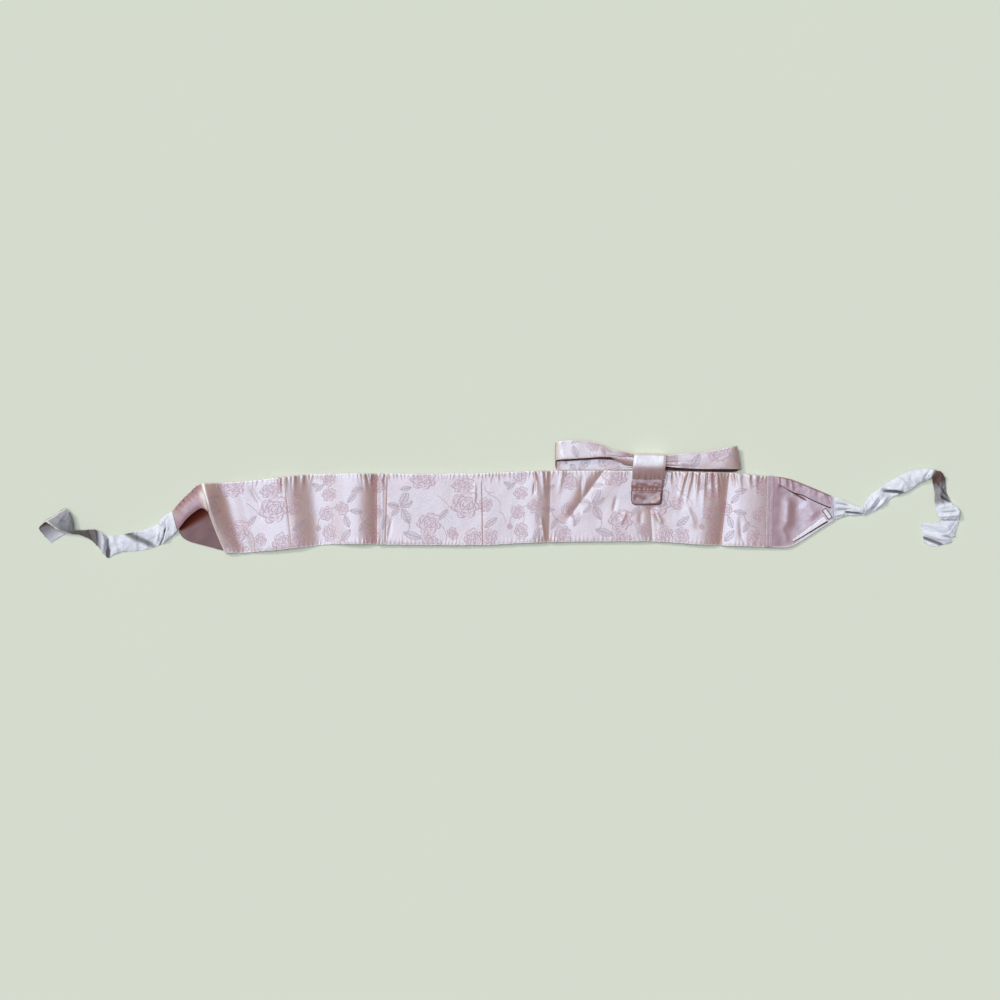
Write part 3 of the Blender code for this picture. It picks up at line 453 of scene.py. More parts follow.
TAB_ROWS = (
    TabRow(24.2, 166.0, 206.6, 1.9),
    TabRow(21.6, 165.4, 206.2, 2.0),
    TabRow(17.0, 165.0, 205.4, 1.9),
    TabRow(12.4, 165.2, 204.6, 0.5),
    TabRow(9.0, 164.8, 204.2, 1.8),
    TabRow(3.0, 164.8, 203.6, 1.7),
    TabRow(-3.0, 165.2, 203.2, 1.2),
    TabRow(-6.4, 167.0, 201.6, 0.7),
    TabRow(-7.8, 170.0, 198.6, 0.0),
)
# Folds pressed into the keeper's tab
TAB_CREASES = (
    Crease(164.0, 9.6, 206.0, 8.8, 0.5, 1.1),
    Crease(167.0, 3.6, 186.0, -3.0, -0.9, 3.6),
    Crease(186.0, -13.0, 210.0, 7.0, 3.2, 5.0),
    Crease(170.0, 18.6, 188.0, 15.4, -0.7, 2.2),
    Crease(192.0, 19.6, 204.0, 16.0, -0.5, 2.0),
)

# The woven design: roses, leaves and stems in one repeat, from its lower left, in cloth millimetres
REPEAT = (239.5, 150.0)
REPEAT_START = -323.75
LOOP_TURN = 7.6
CUT_LEFT_LOOP = (40.0, -30.0)
CUT_RIGHT_LOOP = (150.0, -20.0)
CUT_TUCK = (60.0, -45.0)
MOTIFS = (
    Motif("rose", 42.5, 6.0, 18.0, 17.0, 20.0),
    Motif("rose", 39.5, 30.0, 14.5, 9.0, 8.0),
    Motif("rose", 51.5, -36.0, 12.0, 10.5, 60.0),
    Motif("rose", 236.5, -17.5, 15.5, 13.0, 12.0),
    Motif("rose", 238.5, -39.0, 14.0, 9.0, 140.0),
    Motif("rose", 229.5, 37.0, 16.5, 12.0, 4.0),
    Motif("rose", 111.5, 18.0, 9.0, 8.0, 10.0),
    Motif("rose", 108.0, -5.5, 9.0, 8.5, 110.0),
    Motif("rose", 128.0, 0.5, 8.0, 9.0, 220.0),
    Motif("rose", 112.0, -30.0, 8.5, 11.0, 10.0),
    Motif("rose", 111.5, 38.0, 10.0, 8.0, 250.0),
    Motif("rose", 26.5, -30.0, 6.5, 8.5, 30.0),
    Motif("rose", 67.5, 5.0, 9.0, 8.5, 70.0),
    Motif("rose", 73.0, -35.0, 9.5, 10.0, 170.0),
    Motif("rose", 98.0, -23.0, 3.2, 4.0, 20.0),
    Motif("rose", 172.0, 31.0, 11.5, 9.5, 310.0),
    Motif("rose", 165.0, -36.0, 12.0, 10.0, 100.0),
    Motif("rose", 170.0, -4.0, 9.0, 8.0, 40.0),
    Motif("leaf", 201.0, 3.0, 23.0, 12.0, 66.0),
    Motif("leaf", 202.0, 2.0, 17.0, 9.0, 28.0),
    Motif("leaf", 202.0, 1.0, 22.0, 12.0, 300.0),
    Motif("leaf", 200.0, 2.0, 15.0, 8.0, 225.0),
    Motif("leaf", 200.0, 3.0, 16.0, 9.0, 168.0),
    Motif("leaf", 204.0, -29.0, 25.0, 11.0, 342.0),
    Motif("leaf", 7.5, -14.0, 20.0, 8.0, 46.0),
    Motif("leaf", 126.0, -41.0, 20.0, 10.0, 50.0),
    Motif("leaf", 66.0, -24.0, 21.0, 9.0, 38.0),
    Motif("leaf", 105.0, 31.0, 14.0, 7.0, 215.0),
    Motif("leaf", 137.0, -2.0, 18.0, 8.0, 352.0),
    Motif("leaf", 134.0, 7.0, 19.0, 8.0, 48.0),
    Motif("leaf", 131.0, -8.0, 17.0, 9.0, 290.0),
    Motif("leaf", 178.0, -26.0, 20.0, 9.0, 70.0),
    Motif("leaf", 155.0, 26.0, 18.0, 9.0, 200.0),
    Motif("leaf", 215.0, 27.0, 15.0, 7.0, 190.0),
    Motif("leaf", 90.0, 33.0, 14.0, 7.0, 330.0),
    Motif("leaf", 158.0, -14.0, 17.0, 8.0, 240.0),
    Motif("stem", 5.5, 18.5, 27.0, 2.0, 315.0),
    Motif("stem", 4.0, 6.0, 14.0, -2.0, 72.0),
    Motif("stem", 9.0, -17.0, 25.0, 4.0, 291.0),
    Motif("stem", 71.0, 18.0, 22.0, 3.0, 317.0),
    Motif("stem", 66.0, 28.0, 15.0, -5.0, 335.0),
    Motif("stem", 98.0, -20.0, 16.0, 5.0, 42.0),
    Motif("stem", 186.0, 4.0, 16.0, 3.0, 350.0),
    Motif("stem", 113.0, -4.0, 14.0, 4.0, 20.0),
    Motif("stem", 112.0, -22.0, 14.0, -3.0, 85.0),
    Motif("stem", 206.0, -12.0, 18.0, 5.0, 280.0),
    Motif("stem", 150.0, -4.0, 26.0, -5.0, 318.0),
    Motif("stem", 84.0, -4.0, 16.0, 3.0, 300.0),
)


def mix(a, b, share):
    return a + (b - a) * share


def ease(share):
    share = np.clip(share, 0.0, 1.0)
    return share * share * (3.0 - 2.0 * share)


def read(rows, name, at, key="x"):
    """A named column of a table, on a smooth curve, read at stations of its key column."""
    stations = np.array([getattr(row, key) for row in rows], float)
    values = np.array([getattr(row, name) for row in rows], float)
    return curve_through(values, stations, at)


def curve_through(values, stations, at):
    at = np.asarray(at, float)
    last = len(stations) - 1
    low = np.maximum(np.arange(last + 1) - 1, 0)
    high = np.minimum(np.arange(last + 1) + 1, last)
    slopes = (values[high] - values[low]) / (stations[high] - stations[low])
    k = np.clip(np.searchsorted(stations, at, side="right") - 1, 0, last - 1)
    span = stations[k + 1] - stations[k]
    s = np.clip((at - stations[k]) / span, 0.0, 1.0)
    return (
        (2 * s**3 - 3 * s**2 + 1) * values[k]
        + (s**3 - 2 * s**2 + s) * slopes[k] * span
        + (3 * s**2 - 2 * s**3) * values[k + 1]
        + (s**3 - s**2) * slopes[k + 1] * span
    )


def wander(x, y, size, seed):
    """Smooth noise from -1 to 1 over a grid of points, with features of about the given size."""
    flat = [
        noise.noise(Vector((a / size, b / size, seed)))
        for a, b in zip(np.ravel(x), np.ravel(y))
    ]
    return np.array(flat).reshape(np.shape(x))


def wrinkles(x, y, size, seed):
    """Sharp-topped wrinkles from 0 to 1: they run where smooth noise crosses zero."""
    return np.clip(1.0 - 4.0 * np.abs(wander(x, y, size, seed)), 0.0, 1.0)


# The band's front as a height over the table

def fold_height(fold, x, t):
    """Cloth that sinks ever more steeply to the fold's line, then steps up to its rim."""
    line = mix(fold.x_top, fold.x_bottom, t)
    ending = 0.3 if fold.t_to < 1.0 else 0.1
    fade = ease((t - fold.t_from) / 0.1) * ease((fold.t_to - t) / ending)
    d = x - line
    far = fold.crest * (1.0 - ease((-d - fold.slope) / (1.4 * fold.slope)))
    near = np.clip(-d / fold.slope, 0.0, 1.0)
    descent = ease(near) if fold.edge > WIDE_EDGE else 1.0 - (1.0 - near) ** 2
    down = mix(-fold.valley, fold.crest, descent)
    rise = np.clip(d / fold.edge, 0.0, 1.0)
    up = mix(-fold.valley, fold.rim, ease(rise) if fold.edge > SOFT_EDGE else 1.0 - (1.0 - rise) ** 2)
    past = fold.rim * (1.0 - ease((d - fold.edge) / fold.rim_width))
    height = np.where(d <= -fold.slope, far, np.where(d <= 0, down, np.where(d <= fold.edge, up, past)))
    return fade * height


def cushion(down, up):
    """0 at both long edges, then up their low wall and domed to 1, from the distances to the edges."""
    shape = 1.0
    for distance in (down, up):
        inside = np.clip(distance / PUFF_REACH, 0.0, 1.0)
        dome = mix(PUFF_WALL, 1.0, 1.0 - (1.0 - inside) ** PUFF_ROUNDNESS)
        shape = shape * np.where(distance < 0.5 * WALL_INSET, 0.0, dome)
    return shape


def pucker_height(pucker, x, d):
    middle = pucker.x + pucker.lean * d
    across = np.exp(-(((x - middle) / pucker.width) ** 2))
    return pucker.height * across * np.exp(-((d / pucker.reach) ** 2)) * ease(0.3 + d / 2.0)


def crease_height(crease, x, y):
    """A ridge from one point to another, rounded across and fading at its ends."""
    run = np.array((crease.x1 - crease.x0, crease.y1 - crease.y0))
    length = math.hypot(*run)
    run = run / length
    along = (x - crease.x0) * run[0] + (y - crease.y0) * run[1]
    across = (y - crease.y0) * run[0] - (x - crease.x0) * run[1]
    fade = ease(along / (0.3 * length)) * ease((length - along) / (0.3 * length))
    return crease.height * fade * np.exp(-((across / crease.width) ** 2))


def small_gathers(rng, side, start, stop):
    """Rows of small puckers along one long edge, unevenly spaced, as strong as the table says."""
    made = []
    x = start
    while x < stop:
        strength = float(read(GATHERS, side, x))
        reach = rng.uniform(3.5, 6.0) + 4.5 * strength * rng.random()
        height = 0.5 * strength * rng.uniform(0.4, 1.4)
        made.append(Pucker(x, reach, height, rng.uniform(0.7, 1.3), rng.uniform(-0.3, 0.3)))
        x += rng.uniform(3.6, 6.6)
    return made


gather_rng = random.Random(5)
TOP_GATHERS = small_gathers(gather_rng, "top", -367.0, 334.0)
BOTTOM_GATHERS = small_gathers(gather_rng, "bottom", -338.0, 332.0)


def bowed(x, t):
    near = 1.0 - ease((x - mix(*CREASE_LEFT, t)) / CREASE_BOW_REACH)
    return x - CREASE_BOW * near * 4.0 * t * (1.0 - t)


def band_y(x, t):
    return mix(read(BAND_EDGES, "top", x), read(BAND_EDGES, "bottom", x), t)


def front_height(x, t):
    """Height of the front's outer side over the table."""
    top = read(BAND_EDGES, "top", x)
    bottom = read(BAND_EDGES, "bottom", x)
    down = t * (top - bottom)
    up = (1.0 - t) * (top - bottom)
    y = top - down
    full = cushion(down, up)
    folds = sum(fold_height(fold, x, t) for fold in FOLDS + SOFT_FOLDS)
    creases = sum(crease_height(crease, x, y) for crease in CREASES)
    height = PUFF * full + folds * (0.3 + 0.7 * full) + creases * full
    crease = bowed(mix(*CREASE_LEFT, t), t)
    reach, fall = CREASE_ROUND
    depth, bottom_at, rise = CREASE_HOLLOW
    off = x - crease
    height = height - depth * full * ease(off / bottom_at) * (1.0 - ease((off - bottom_at) / rise))
    stand = (1.0 - np.clip((x - crease - reach) / CREASE_SLOPE, 0.0, 1.0)) ** 2
    height = mix(height, read(CREASE_HEIGHTS, "z", t, "t"), stand)
    height = height - fall * (1.0 - np.clip((x - crease) / reach, 0.0, 1.0)) ** 2
    puckers = sum(pucker_height(p, x, down) for p in list(PUCKERS) + TOP_GATHERS)
    puckers = puckers + sum(pucker_height(p, x, up) for p in BOTTOM_GATHERS)
    return FRONT_FLOOR + FRONT_RISE + np.maximum(height, -1.0) + puckers


def front_over(x, y):
    top = read(BAND_EDGES, "top", x)
    bottom = read(BAND_EDGES, "bottom", x)
    return front_height(x, (top - y) / (top - bottom))


# Making meshes

def grid_normals(points, turned):
    down = np.gradient(points, axis=0)
    over = np.gradient(points, axis=1)
    normals = np.cross(down, over)
    normals /= np.maximum(np.linalg.norm(normals, axis=2, keepdims=True), 1e-9)
    return -normals if turned else normals


def ribbon_lengths(points):
    """Cloth coordinates of a grid: (distance across its rows, distance along its columns)."""
    along = np.linalg.norm(np.diff(points, axis=0), axis=2)
    over = np.linalg.norm(np.diff(points, axis=1), axis=2)
    zero_row = np.zeros((1, points.shape[1]))
    zero_column = np.zeros((points.shape[0], 1))
    v = np.concatenate([zero_row, np.cumsum(along, axis=0)], axis=0)
    u = np.concatenate([zero_column, np.cumsum(over, axis=1)], axis=1)
    return np.stack([v, u], axis=2)


def motif_map(kind, corners):
    """For each face, its corners (mm of cloth) in the own coordinates of the nearest motif of a kind."""
    middle = corners.mean(axis=1)
    best = np.full(len(middle), np.inf)
    chosen = np.zeros_like(corners)
    period = np.array(REPEAT)
    for motif in (m for m in MOTIFS if m.kind == kind):
        at = np.array((motif.x, motif.y))
        shift = np.round((middle - at) / period) * period
        offset = corners - (at + shift)[:, None, :]
        turn = math.radians(motif.turn)
        u = offset[..., 0] * math.cos(turn) + offset[..., 1] * math.sin(turn)
        v = offset[..., 1] * math.cos(turn) - offset[..., 0] * math.sin(turn)
        half = motif.width if kind != "leaf" else motif.width / 2.0
        own = np.stack([u / motif.length, v / half], axis=2)
        off = own.mean(axis=1) - np.array((0.0 if kind == "rose" else 0.5, 0.0))
        distance = np.linalg.norm(off * np.array((motif.length, half)), axis=1) - 0.5 * motif.length
        if kind == "rose":
            distance = np.linalg.norm(off, axis=1)
        closer = distance < best
        best = np.where(closer, distance, best)
        chosen = np.where(closer[:, None, None], own, chosen)
    return chosen


def cloth(name, outer, wall, material, cloth_mm=None, turned=False, inner=None, shade=None, rim=None, woven=None):
    """A closed thin shell on a grid of points (mm), with its cloth coordinates as its UV map."""
    rows, columns = outer.shape[:2]
    if inner is None:
        inner = outer - grid_normals(outer, turned) * wall
        inner[..., 2] = np.maximum(inner[..., 2], 0.0)
    if cloth_mm is None:
        cloth_mm = ribbon_lengths(outer)
    count = rows * columns
    index = np.arange(count).reshape(rows, columns)
    a, b = index[:-1, :-1].ravel(), index[1:, :-1].ravel()
    c, d = index[1:, 1:].ravel(), index[:-1, 1:].ravel()
    faces = [np.stack([a, b, c, d], 1), np.stack([d, c, b, a], 1) + count]
    border = np.concatenate([index[0, :-1], index[:-1, -1], index[-1, :0:-1], index[:0:-1, 0]])
    after = np.roll(border, -1)
    faces.append(np.stack([border, after, after + count, border + count], 1))
    faces = np.concatenate(faces)
    if turned:
        faces = faces[:, ::-1]
    points = np.concatenate([outer.reshape(-1, 3), inner.reshape(-1, 3)]) * MM
    mesh = bpy.data.meshes.new(name)
    mesh.from_pydata(points.tolist(), [], faces.tolist())
    flat = np.concatenate([cloth_mm.reshape(-1, 2)] * 2) * MM
    layer = mesh.uv_layers.new(name="cloth")
    layer.data.foreach_set("uv", flat[faces.ravel()].astype(np.float32).ravel())
    if woven is not None:
        corners = np.concatenate([woven.reshape(-1, 2)] * 2)[faces]
        for kind in ("rose", "leaf", "stem"):
            drawn = mesh.uv_layers.new(name=kind)
            drawn.data.foreach_set("uv", motif_map(kind, corners).astype(np.float32).ravel())
    # depth carries painted shade and rim carries painted highlight into the materials
    for label, values in (("depth", shade), ("rim", rim)):
        if values is not None:
            layer = mesh.attributes.new(label, "FLOAT", "POINT")
            layer.data.foreach_set("value", np.tile(values.ravel(), 2).astype(np.float32))
    mesh.materials.append(material)
    mesh.shade_smooth()
    mesh.set_sharp_from_angle(angle=math.radians(60))
    made = bpy.data.objects.new(name, mesh)
    bpy.context.scene.collection.objects.link(made)
    return made


def ruled(rulings, between, across):
    """A fine grid on the smooth surface through a table of rulings."""
    stations = np.arange(len(rulings), dtype=float)
    at = np.linspace(0.0, len(rulings) - 1.0, (len(rulings) - 1) * between + 1)
    fields = {
        name: curve_through(np.array([getattr(r, name) for r in rulings], float), stations, at)
        for name in Ruling._fields
    }
    a = np.stack([fields["ax"], fields["ay"], fields["az"]], 1)[:, None, :]
    b = np.stack([fields["bx"], fields["by"], fields["bz"]], 1)[:, None, :]
    s = np.linspace(0.0, 1.0, across + 1)[None, :, None]
    points = a + (b - a) * s
    points[..., 2] += 4.0 * fields["arch"][:, None] * (s * (1.0 - s))[..., 0]
    return points


def raised(points, heights, turned):
    """The grid moved out along its normals."""
    return points + grid_normals(points, turned) * heights[..., None]


def above_table(points, least):
    points = points.copy()
    points[..., 2] = np.maximum(points[..., 2], least)
    return points


# Shader node groups

def new_group(name, inputs, outputs):
    """An empty shader group: its tree, its input node's sockets and its output node's sockets."""
    tree = bpy.data.node_groups.new(name, "ShaderNodeTree")
    for label, kind, value in inputs:
        socket = tree.interface.new_socket(label, in_out="INPUT", socket_type="NodeSocket" + kind)
        if value is not None:
            socket.default_value = value
    for label, kind in outputs:
        tree.interface.new_socket(label, in_out="OUTPUT", socket_type="NodeSocket" + kind)
    entry = tree.nodes.new("NodeGroupInput")
    leave = tree.nodes.new("NodeGroupOutput")
    return tree, entry.outputs, leave.inputs


def feed(tree, socket, value):
    if isinstance(value, bpy.types.NodeSocket):
        tree.links.new(value, socket)
    elif value is not None:
        socket.default_value = value


def calc(tree, operation, a, b=None, c=None, clamp=False):
    node = tree.nodes.new("ShaderNodeMath")
    node.operation = operation
    node.use_clamp = clamp
    for socket, value in zip(node.inputs, (a, b, c)):
        feed(tree, socket, value)
    return node.outputs[0]


def move(tree, operation, a, b=None, c=None, scale=None):
    node = tree.nodes.new("ShaderNodeVectorMath")
    node.operation = operation
    for socket, value in zip(node.inputs, (a, b, c)):
        feed(tree, socket, value)
    if scale is not None:
        feed(tree, node.inputs["Scale"], scale)
    return node.outputs["Value" if operation in ("LENGTH", "DOT_PRODUCT") else "Vector"]


def ramp(tree, value, low, high, to_low=0.0, to_high=1.0):
    """A smooth step of a value, from one level to another."""
    node = tree.nodes.new("ShaderNodeMapRange")
    node.interpolation_type = "SMOOTHSTEP"
    for label, given in (
        ("Value", value), ("From Min", low), ("From Max", high), ("To Min", to_low), ("To Max", to_high)
    ):
        feed(tree, node.inputs[label], given)
    return node.outputs["Result"]


def cloudy(tree, place, scale, detail=2.0, roughness=0.5, distortion=0.0):
    node = tree.nodes.new("ShaderNodeTexNoise")
    feed(tree, node.inputs["Vector"], place)
    for label, given in (
        ("Scale", scale), ("Detail", detail), ("Roughness", roughness), ("Distortion", distortion)
    ):
        feed(tree, node.inputs[label], given)
    return node.outputs["Fac"], node.outputs["Color"]


def blend(tree, share, a, b, kind="RGBA"):
    node = tree.nodes.new("ShaderNodeMix")
    node.data_type = kind
    first = {"FLOAT": 2, "VECTOR": 4, "RGBA": 6}[kind]
    feed(tree, node.inputs[0], share)
    feed(tree, node.inputs[first], a)
    feed(tree, node.inputs[first + 1], b)
    return node.outputs[{"FLOAT": 0, "VECTOR": 1, "RGBA": 2}[kind]]


def split(tree, vector):
    node = tree.nodes.new("ShaderNodeSeparateXYZ")
    feed(tree, node.inputs[0], vector)
    return node.outputs


def use(tree, group, **given):
    """The group placed in a tree, with its inputs fed by name."""
    node = tree.nodes.new("ShaderNodeGroup")
    node.node_tree = group
    for label, value in given.items():
        feed(tree, node.inputs[label.replace("_", " ")], value)
    return node.outputs


# The rose's rings of petals, outermost first: size, petals and where they start
ROSE_RINGS = ((1.0, 7, 0.3), (0.8, 6, 1.2), (0.6, 5, 0.1), (0.4, 4, 0.9), (0.2, 3, 0.4))


def rose_group():
    """A full-blown rose with rings of scalloped petals; its outer radius is 1."""
    tree, entry, leave = new_group(
        "woven rose",
        [("Place", "Vector", None), ("Line", "Float", 0.068)],
        [("Line", "Float"), ("Petal", "Float"), ("Shade", "Float")],
    )
    place = entry["Place"]
    _, drift = cloudy(tree, place, 1.7, 1.0)
    drift = move(tree, "SUBTRACT", drift, (0.5, 0.5, 0.5))
    place = move(tree, "MULTIPLY_ADD", drift, (0.42, 0.42, 0.0), place)
    x, y, _ = split(tree, place)
    radius = move(tree, "LENGTH", place)
    angle = calc(tree, "ARCTAN2", y, x)
    least = None
    outside = None
    for size, petals, start in ROSE_RINGS:
        turn = calc(tree, "MULTIPLY_ADD", angle, petals / 2.0, start)
        scallop = calc(tree, "ABSOLUTE", calc(tree, "SINE", turn))
        rim = calc(tree, "MULTIPLY_ADD", scallop, 0.2 * size, 0.8 * size)
        away = calc(tree, "ABSOLUTE", calc(tree, "SUBTRACT", radius, rim))
        least = away if least is None else calc(tree, "MINIMUM", least, away)
        outside = rim if outside is None else outside
    petal = ramp(tree, calc(tree, "SUBTRACT", outside, radius), -0.03, 0.03)
    line = ramp(tree, least, calc(tree, "MULTIPLY", entry["Line"], 0.35), entry["Line"], 1.0, 0.0)
    broken, _ = cloudy(tree, place, 2.6, 1.0)
    line = calc(tree, "MULTIPLY", line, ramp(tree, broken, 0.36, 0.5, 0.25, 1.0))
    shade = calc(tree, "MULTIPLY", petal, ramp(tree, broken, 0.42, 0.62))
    feed(tree, leave["Line"], line)
    feed(tree, leave["Petal"], petal)
    feed(tree, leave["Shade"], shade)
    return tree


def leaf_group():
    """A pointed leaf that runs from 0 to 1 in x, with a toothed edge, midrib and side veins."""
    tree, entry, leave = new_group(
        "woven leaf",
        [("Place", "Vector", None)],
        [("Line", "Float"), ("Leaf", "Float")],
    )
    x, y, _ = split(tree, entry["Place"])
    along = calc(tree, "SINE", calc(tree, "MULTIPLY", calc(tree, "MINIMUM", calc(tree, "MAXIMUM", x, 0.0), 1.0), math.pi))
    teeth = calc(tree, "FRACT", calc(tree, "MULTIPLY", x, 6.0))
    half = calc(tree, "MULTIPLY", calc(tree, "POWER", along, 0.8), calc(tree, "MULTIPLY_ADD", teeth, 0.16, 0.84))
    off = calc(tree, "SUBTRACT", half, calc(tree, "ABSOLUTE", y))
    inside = calc(tree, "MULTIPLY", ramp(tree, off, 0.0, 0.12), ramp(tree, along, 0.01, 0.05))
    edge = calc(tree, "MULTIPLY", inside, ramp(tree, off, 0.1, 0.26, 1.0, 0.0))
    rib = ramp(tree, calc(tree, "ABSOLUTE", y), 0.06, 0.14, 1.0, 0.0)
    sweep = calc(tree, "MULTIPLY_ADD", calc(tree, "ABSOLUTE", y), -1.6, calc(tree, "MULTIPLY", x, 5.0))
    vein = ramp(tree, calc(tree, "ABSOLUTE", calc(tree, "SUBTRACT", calc(tree, "FRACT", sweep), 0.5)), 0.08, 0.16, 1.0, 0.0)
    line = calc(tree, "MAXIMUM", edge, calc(tree, "MULTIPLY", inside, calc(tree, "MAXIMUM", rib, calc(tree, "MULTIPLY", vein, 0.6))))
    feed(tree, leave["Line"], line)
    feed(tree, leave["Leaf"], inside)
    return tree


def stem_group():
    """A thin bent stem from 0 to 1 in x; its bow is 1 in y."""
    tree, entry, leave = new_group(
        "woven stem",
        [("Place", "Vector", None), ("Thickness", "Float", 0.12)],
        [("Line", "Float")],
    )
    x, y, _ = split(tree, entry["Place"])
    bow = calc(tree, "MULTIPLY", calc(tree, "MULTIPLY", x, 4.0), calc(tree, "SUBTRACT", 1.0, x))
    off = calc(tree, "ABSOLUTE", calc(tree, "SUBTRACT", y, bow))
    on = ramp(tree, off, calc(tree, "MULTIPLY", entry["Thickness"], 0.5), entry["Thickness"], 1.0, 0.0)
    ends = calc(tree, "MULTIPLY", ramp(tree, x, 0.0, 0.02), ramp(tree, x, 0.96, 1.0, 1.0, 0.0))
    feed(tree, leave["Line"], calc(tree, "MULTIPLY", on, ends))
    return tree


def design_group():
    """The woven design, drawn where the piece's rose, leaf and stem maps place each motif."""
    tree, entry, leave = new_group(
        "rose design",
        [("Rose", "Vector", None), ("Leaf", "Vector", None), ("Stem", "Vector", None)],
        [("Line", "Float"), ("Petal", "Float"), ("Leaf", "Float"), ("Shade", "Float")],
    )
    rose = use(tree, rose_group(), Place=entry["Rose"])
    leaf = use(tree, leaf_group(), Place=entry["Leaf"])
    stem = use(tree, stem_group(), Place=entry["Stem"])
    clear = calc(tree, "SUBTRACT", 1.0, rose["Petal"])
    greens = calc(tree, "MULTIPLY", calc(tree, "MAXIMUM", leaf["Line"], stem["Line"]), clear)
    feed(tree, leave["Line"], calc(tree, "MAXIMUM", rose["Line"], greens))
    feed(tree, leave["Petal"], rose["Petal"])
    feed(tree, leave["Leaf"], calc(tree, "MULTIPLY", leaf["Leaf"], clear))
    feed(tree, leave["Shade"], rose["Shade"])
    return tree


def weave_group():
    """Fine floats of satin and the soft unevenness of pressed cloth, as one height."""
    tree, entry, leave = new_group(
        "satin weave",
        [("Place", "Vector", None), ("Thread", "Float", 0.4), ("Crumple", "Float", 1.0)],
        [("Height", "Float"), ("Cloud", "Float"), ("Fleck", "Float"), ("Blush", "Float")],
    )
    stretched = move(tree, "MULTIPLY", entry["Place"], (0.22, 2.6, 1.0))
    floats, _ = cloudy(tree, stretched, 1.0, 1.0)
    soft, _ = cloudy(tree, entry["Place"], 0.09, 2.0)
    crush, _ = cloudy(tree, entry["Place"], 0.28, 3.0, 0.55, 0.6)
    height = calc(tree, "MULTIPLY", floats, calc(tree, "MULTIPLY", entry["Thread"], 0.12))
    height = calc(tree, "MULTIPLY_ADD", crush, entry["Crumple"], height)
    fleck, _ = cloudy(tree, entry["Place"], 0.7, 2.0)
    blush, _ = cloudy(tree, entry["Place"], 0.045, 2.0, 0.6)
    feed(tree, leave["Height"], height)
    feed(tree, leave["Cloud"], soft)
    feed(tree, leave["Fleck"], fleck)
    feed(tree, leave["Blush"], blush)
    return tree


def tape_group():
    """Plain cotton weave, with the small sharp creases of cloth that was once bunched up."""
    tree, entry, leave = new_group(
        "creased cotton",
        [("Place", "Vector", None), ("Crease", "Float", 1.0)],
        [("Height", "Float"), ("Cloud", "Float")],
    )
    x, y, _ = split(tree, entry["Place"])
    threads = calc(tree, "MULTIPLY", calc(tree, "SINE", calc(tree, "MULTIPLY", x, 9.0)), calc(tree, "SINE", calc(tree, "MULTIPLY", y, 9.0)))
    bunch, _ = cloudy(tree, entry["Place"], 0.2, 3.0, 0.6, 1.2)
    sharp = calc(tree, "ABSOLUTE", calc(tree, "SUBTRACT", bunch, 0.5))
    height = calc(tree, "MULTIPLY_ADD", sharp, calc(tree, "MULTIPLY", entry["Crease"], -2.6), calc(tree, "MULTIPLY", threads, 0.03))
    soft, _ = cloudy(tree, entry["Place"], 0.07, 2.0)
    feed(tree, leave["Height"], height)
    feed(tree, leave["Cloud"], soft)
    return tree


# Materials

def linear(red, green, blue):
    """A colour as seen on a screen, from 0 to 255, turned into light."""
    return tuple(((c / 255 + 0.055) / 1.055) ** 2.4 if c > 10 else c / 3294.6 for c in (red, green, blue)) + (1.0,)


SATIN_GROUND = linear(182, 146, 132)
SATIN_PLAIN = linear(178, 134, 127)
SATIN_BLUSH = linear(208, 158, 142)
SATIN_PETAL = linear(200, 146, 142)
SATIN_LEAF = linear(166, 134, 132)
SATIN_LINE = linear(146, 98, 98)
# Painted shade: a darker copy of the plain satin for the left roll
SATIN_TURNED_PAINTED_SHADE = linear(168, 122, 124)
SATIN_END = linear(178, 132, 134)
# Painted shade: a darker, browner copy of the satin for the keeper's tab
SATIN_TAB_PAINTED_SHADE = linear(154, 112, 106)
SATIN_REVERSE = linear(136, 108, 109)
# Painted highlight, painted shadow under the left roll, and painted shade in folds, slits and openings
SATIN_PAINTED_HIGHLIGHT = linear(240, 228, 216)
REVERSE_PAINTED_SHADOW = linear(124, 56, 34)
FOLD_PAINTED_SHADE = linear(112, 70, 74)
SATIN_SHEEN = (0.75, 0.88, 1.0, 1.0)
SATIN_IOR = 2.3
TAPE_WHITE = linear(243, 245, 249)
TAPE_SHADE = linear(220, 222, 232)
# The tape's greyer reverse, mixed with painted shade in its creases, twists and folded edges
TAPE_GREY_AND_PAINTED_SHADE = linear(128, 126, 128)
TAPE_REVERSE_AND_PAINTED_SHADE = linear(108, 84, 76)
TAB_WHITE = linear(226, 220, 220)
STITCH_PINK = linear(246, 232, 226)
STITCH_BROWN = linear(96, 68, 66)
FLOOR_SAGE = linear(224, 229, 209)


def new_material(name, roughness):
    made = bpy.data.materials.new(name)
    made.use_nodes = True
    tree = made.node_tree
    shader = tree.nodes["Principled BSDF"]
    shader.inputs["Roughness"].default_value = roughness
    return made, tree, shader


def cloth_place(tree):
    """Cloth millimetres from the piece's own map."""
    uv = tree.nodes.new("ShaderNodeUVMap")
    uv.uv_map = "cloth"
    return move(tree, "SCALE", uv.outputs["UV"], scale=1000.0)


def motif_place(tree, kind):
    uv = tree.nodes.new("ShaderNodeUVMap")
    uv.uv_map = kind
    return uv.outputs["UV"]


def bump(tree, shader, height, distance, strength=1.0):
    node = tree.nodes.new("ShaderNodeBump")
    node.inputs["Strength"].default_value = strength
    node.inputs["Distance"].default_value = distance
    feed(tree, node.inputs["Height"], height)
    feed(tree, shader.inputs["Normal"], node.outputs["Normal"])


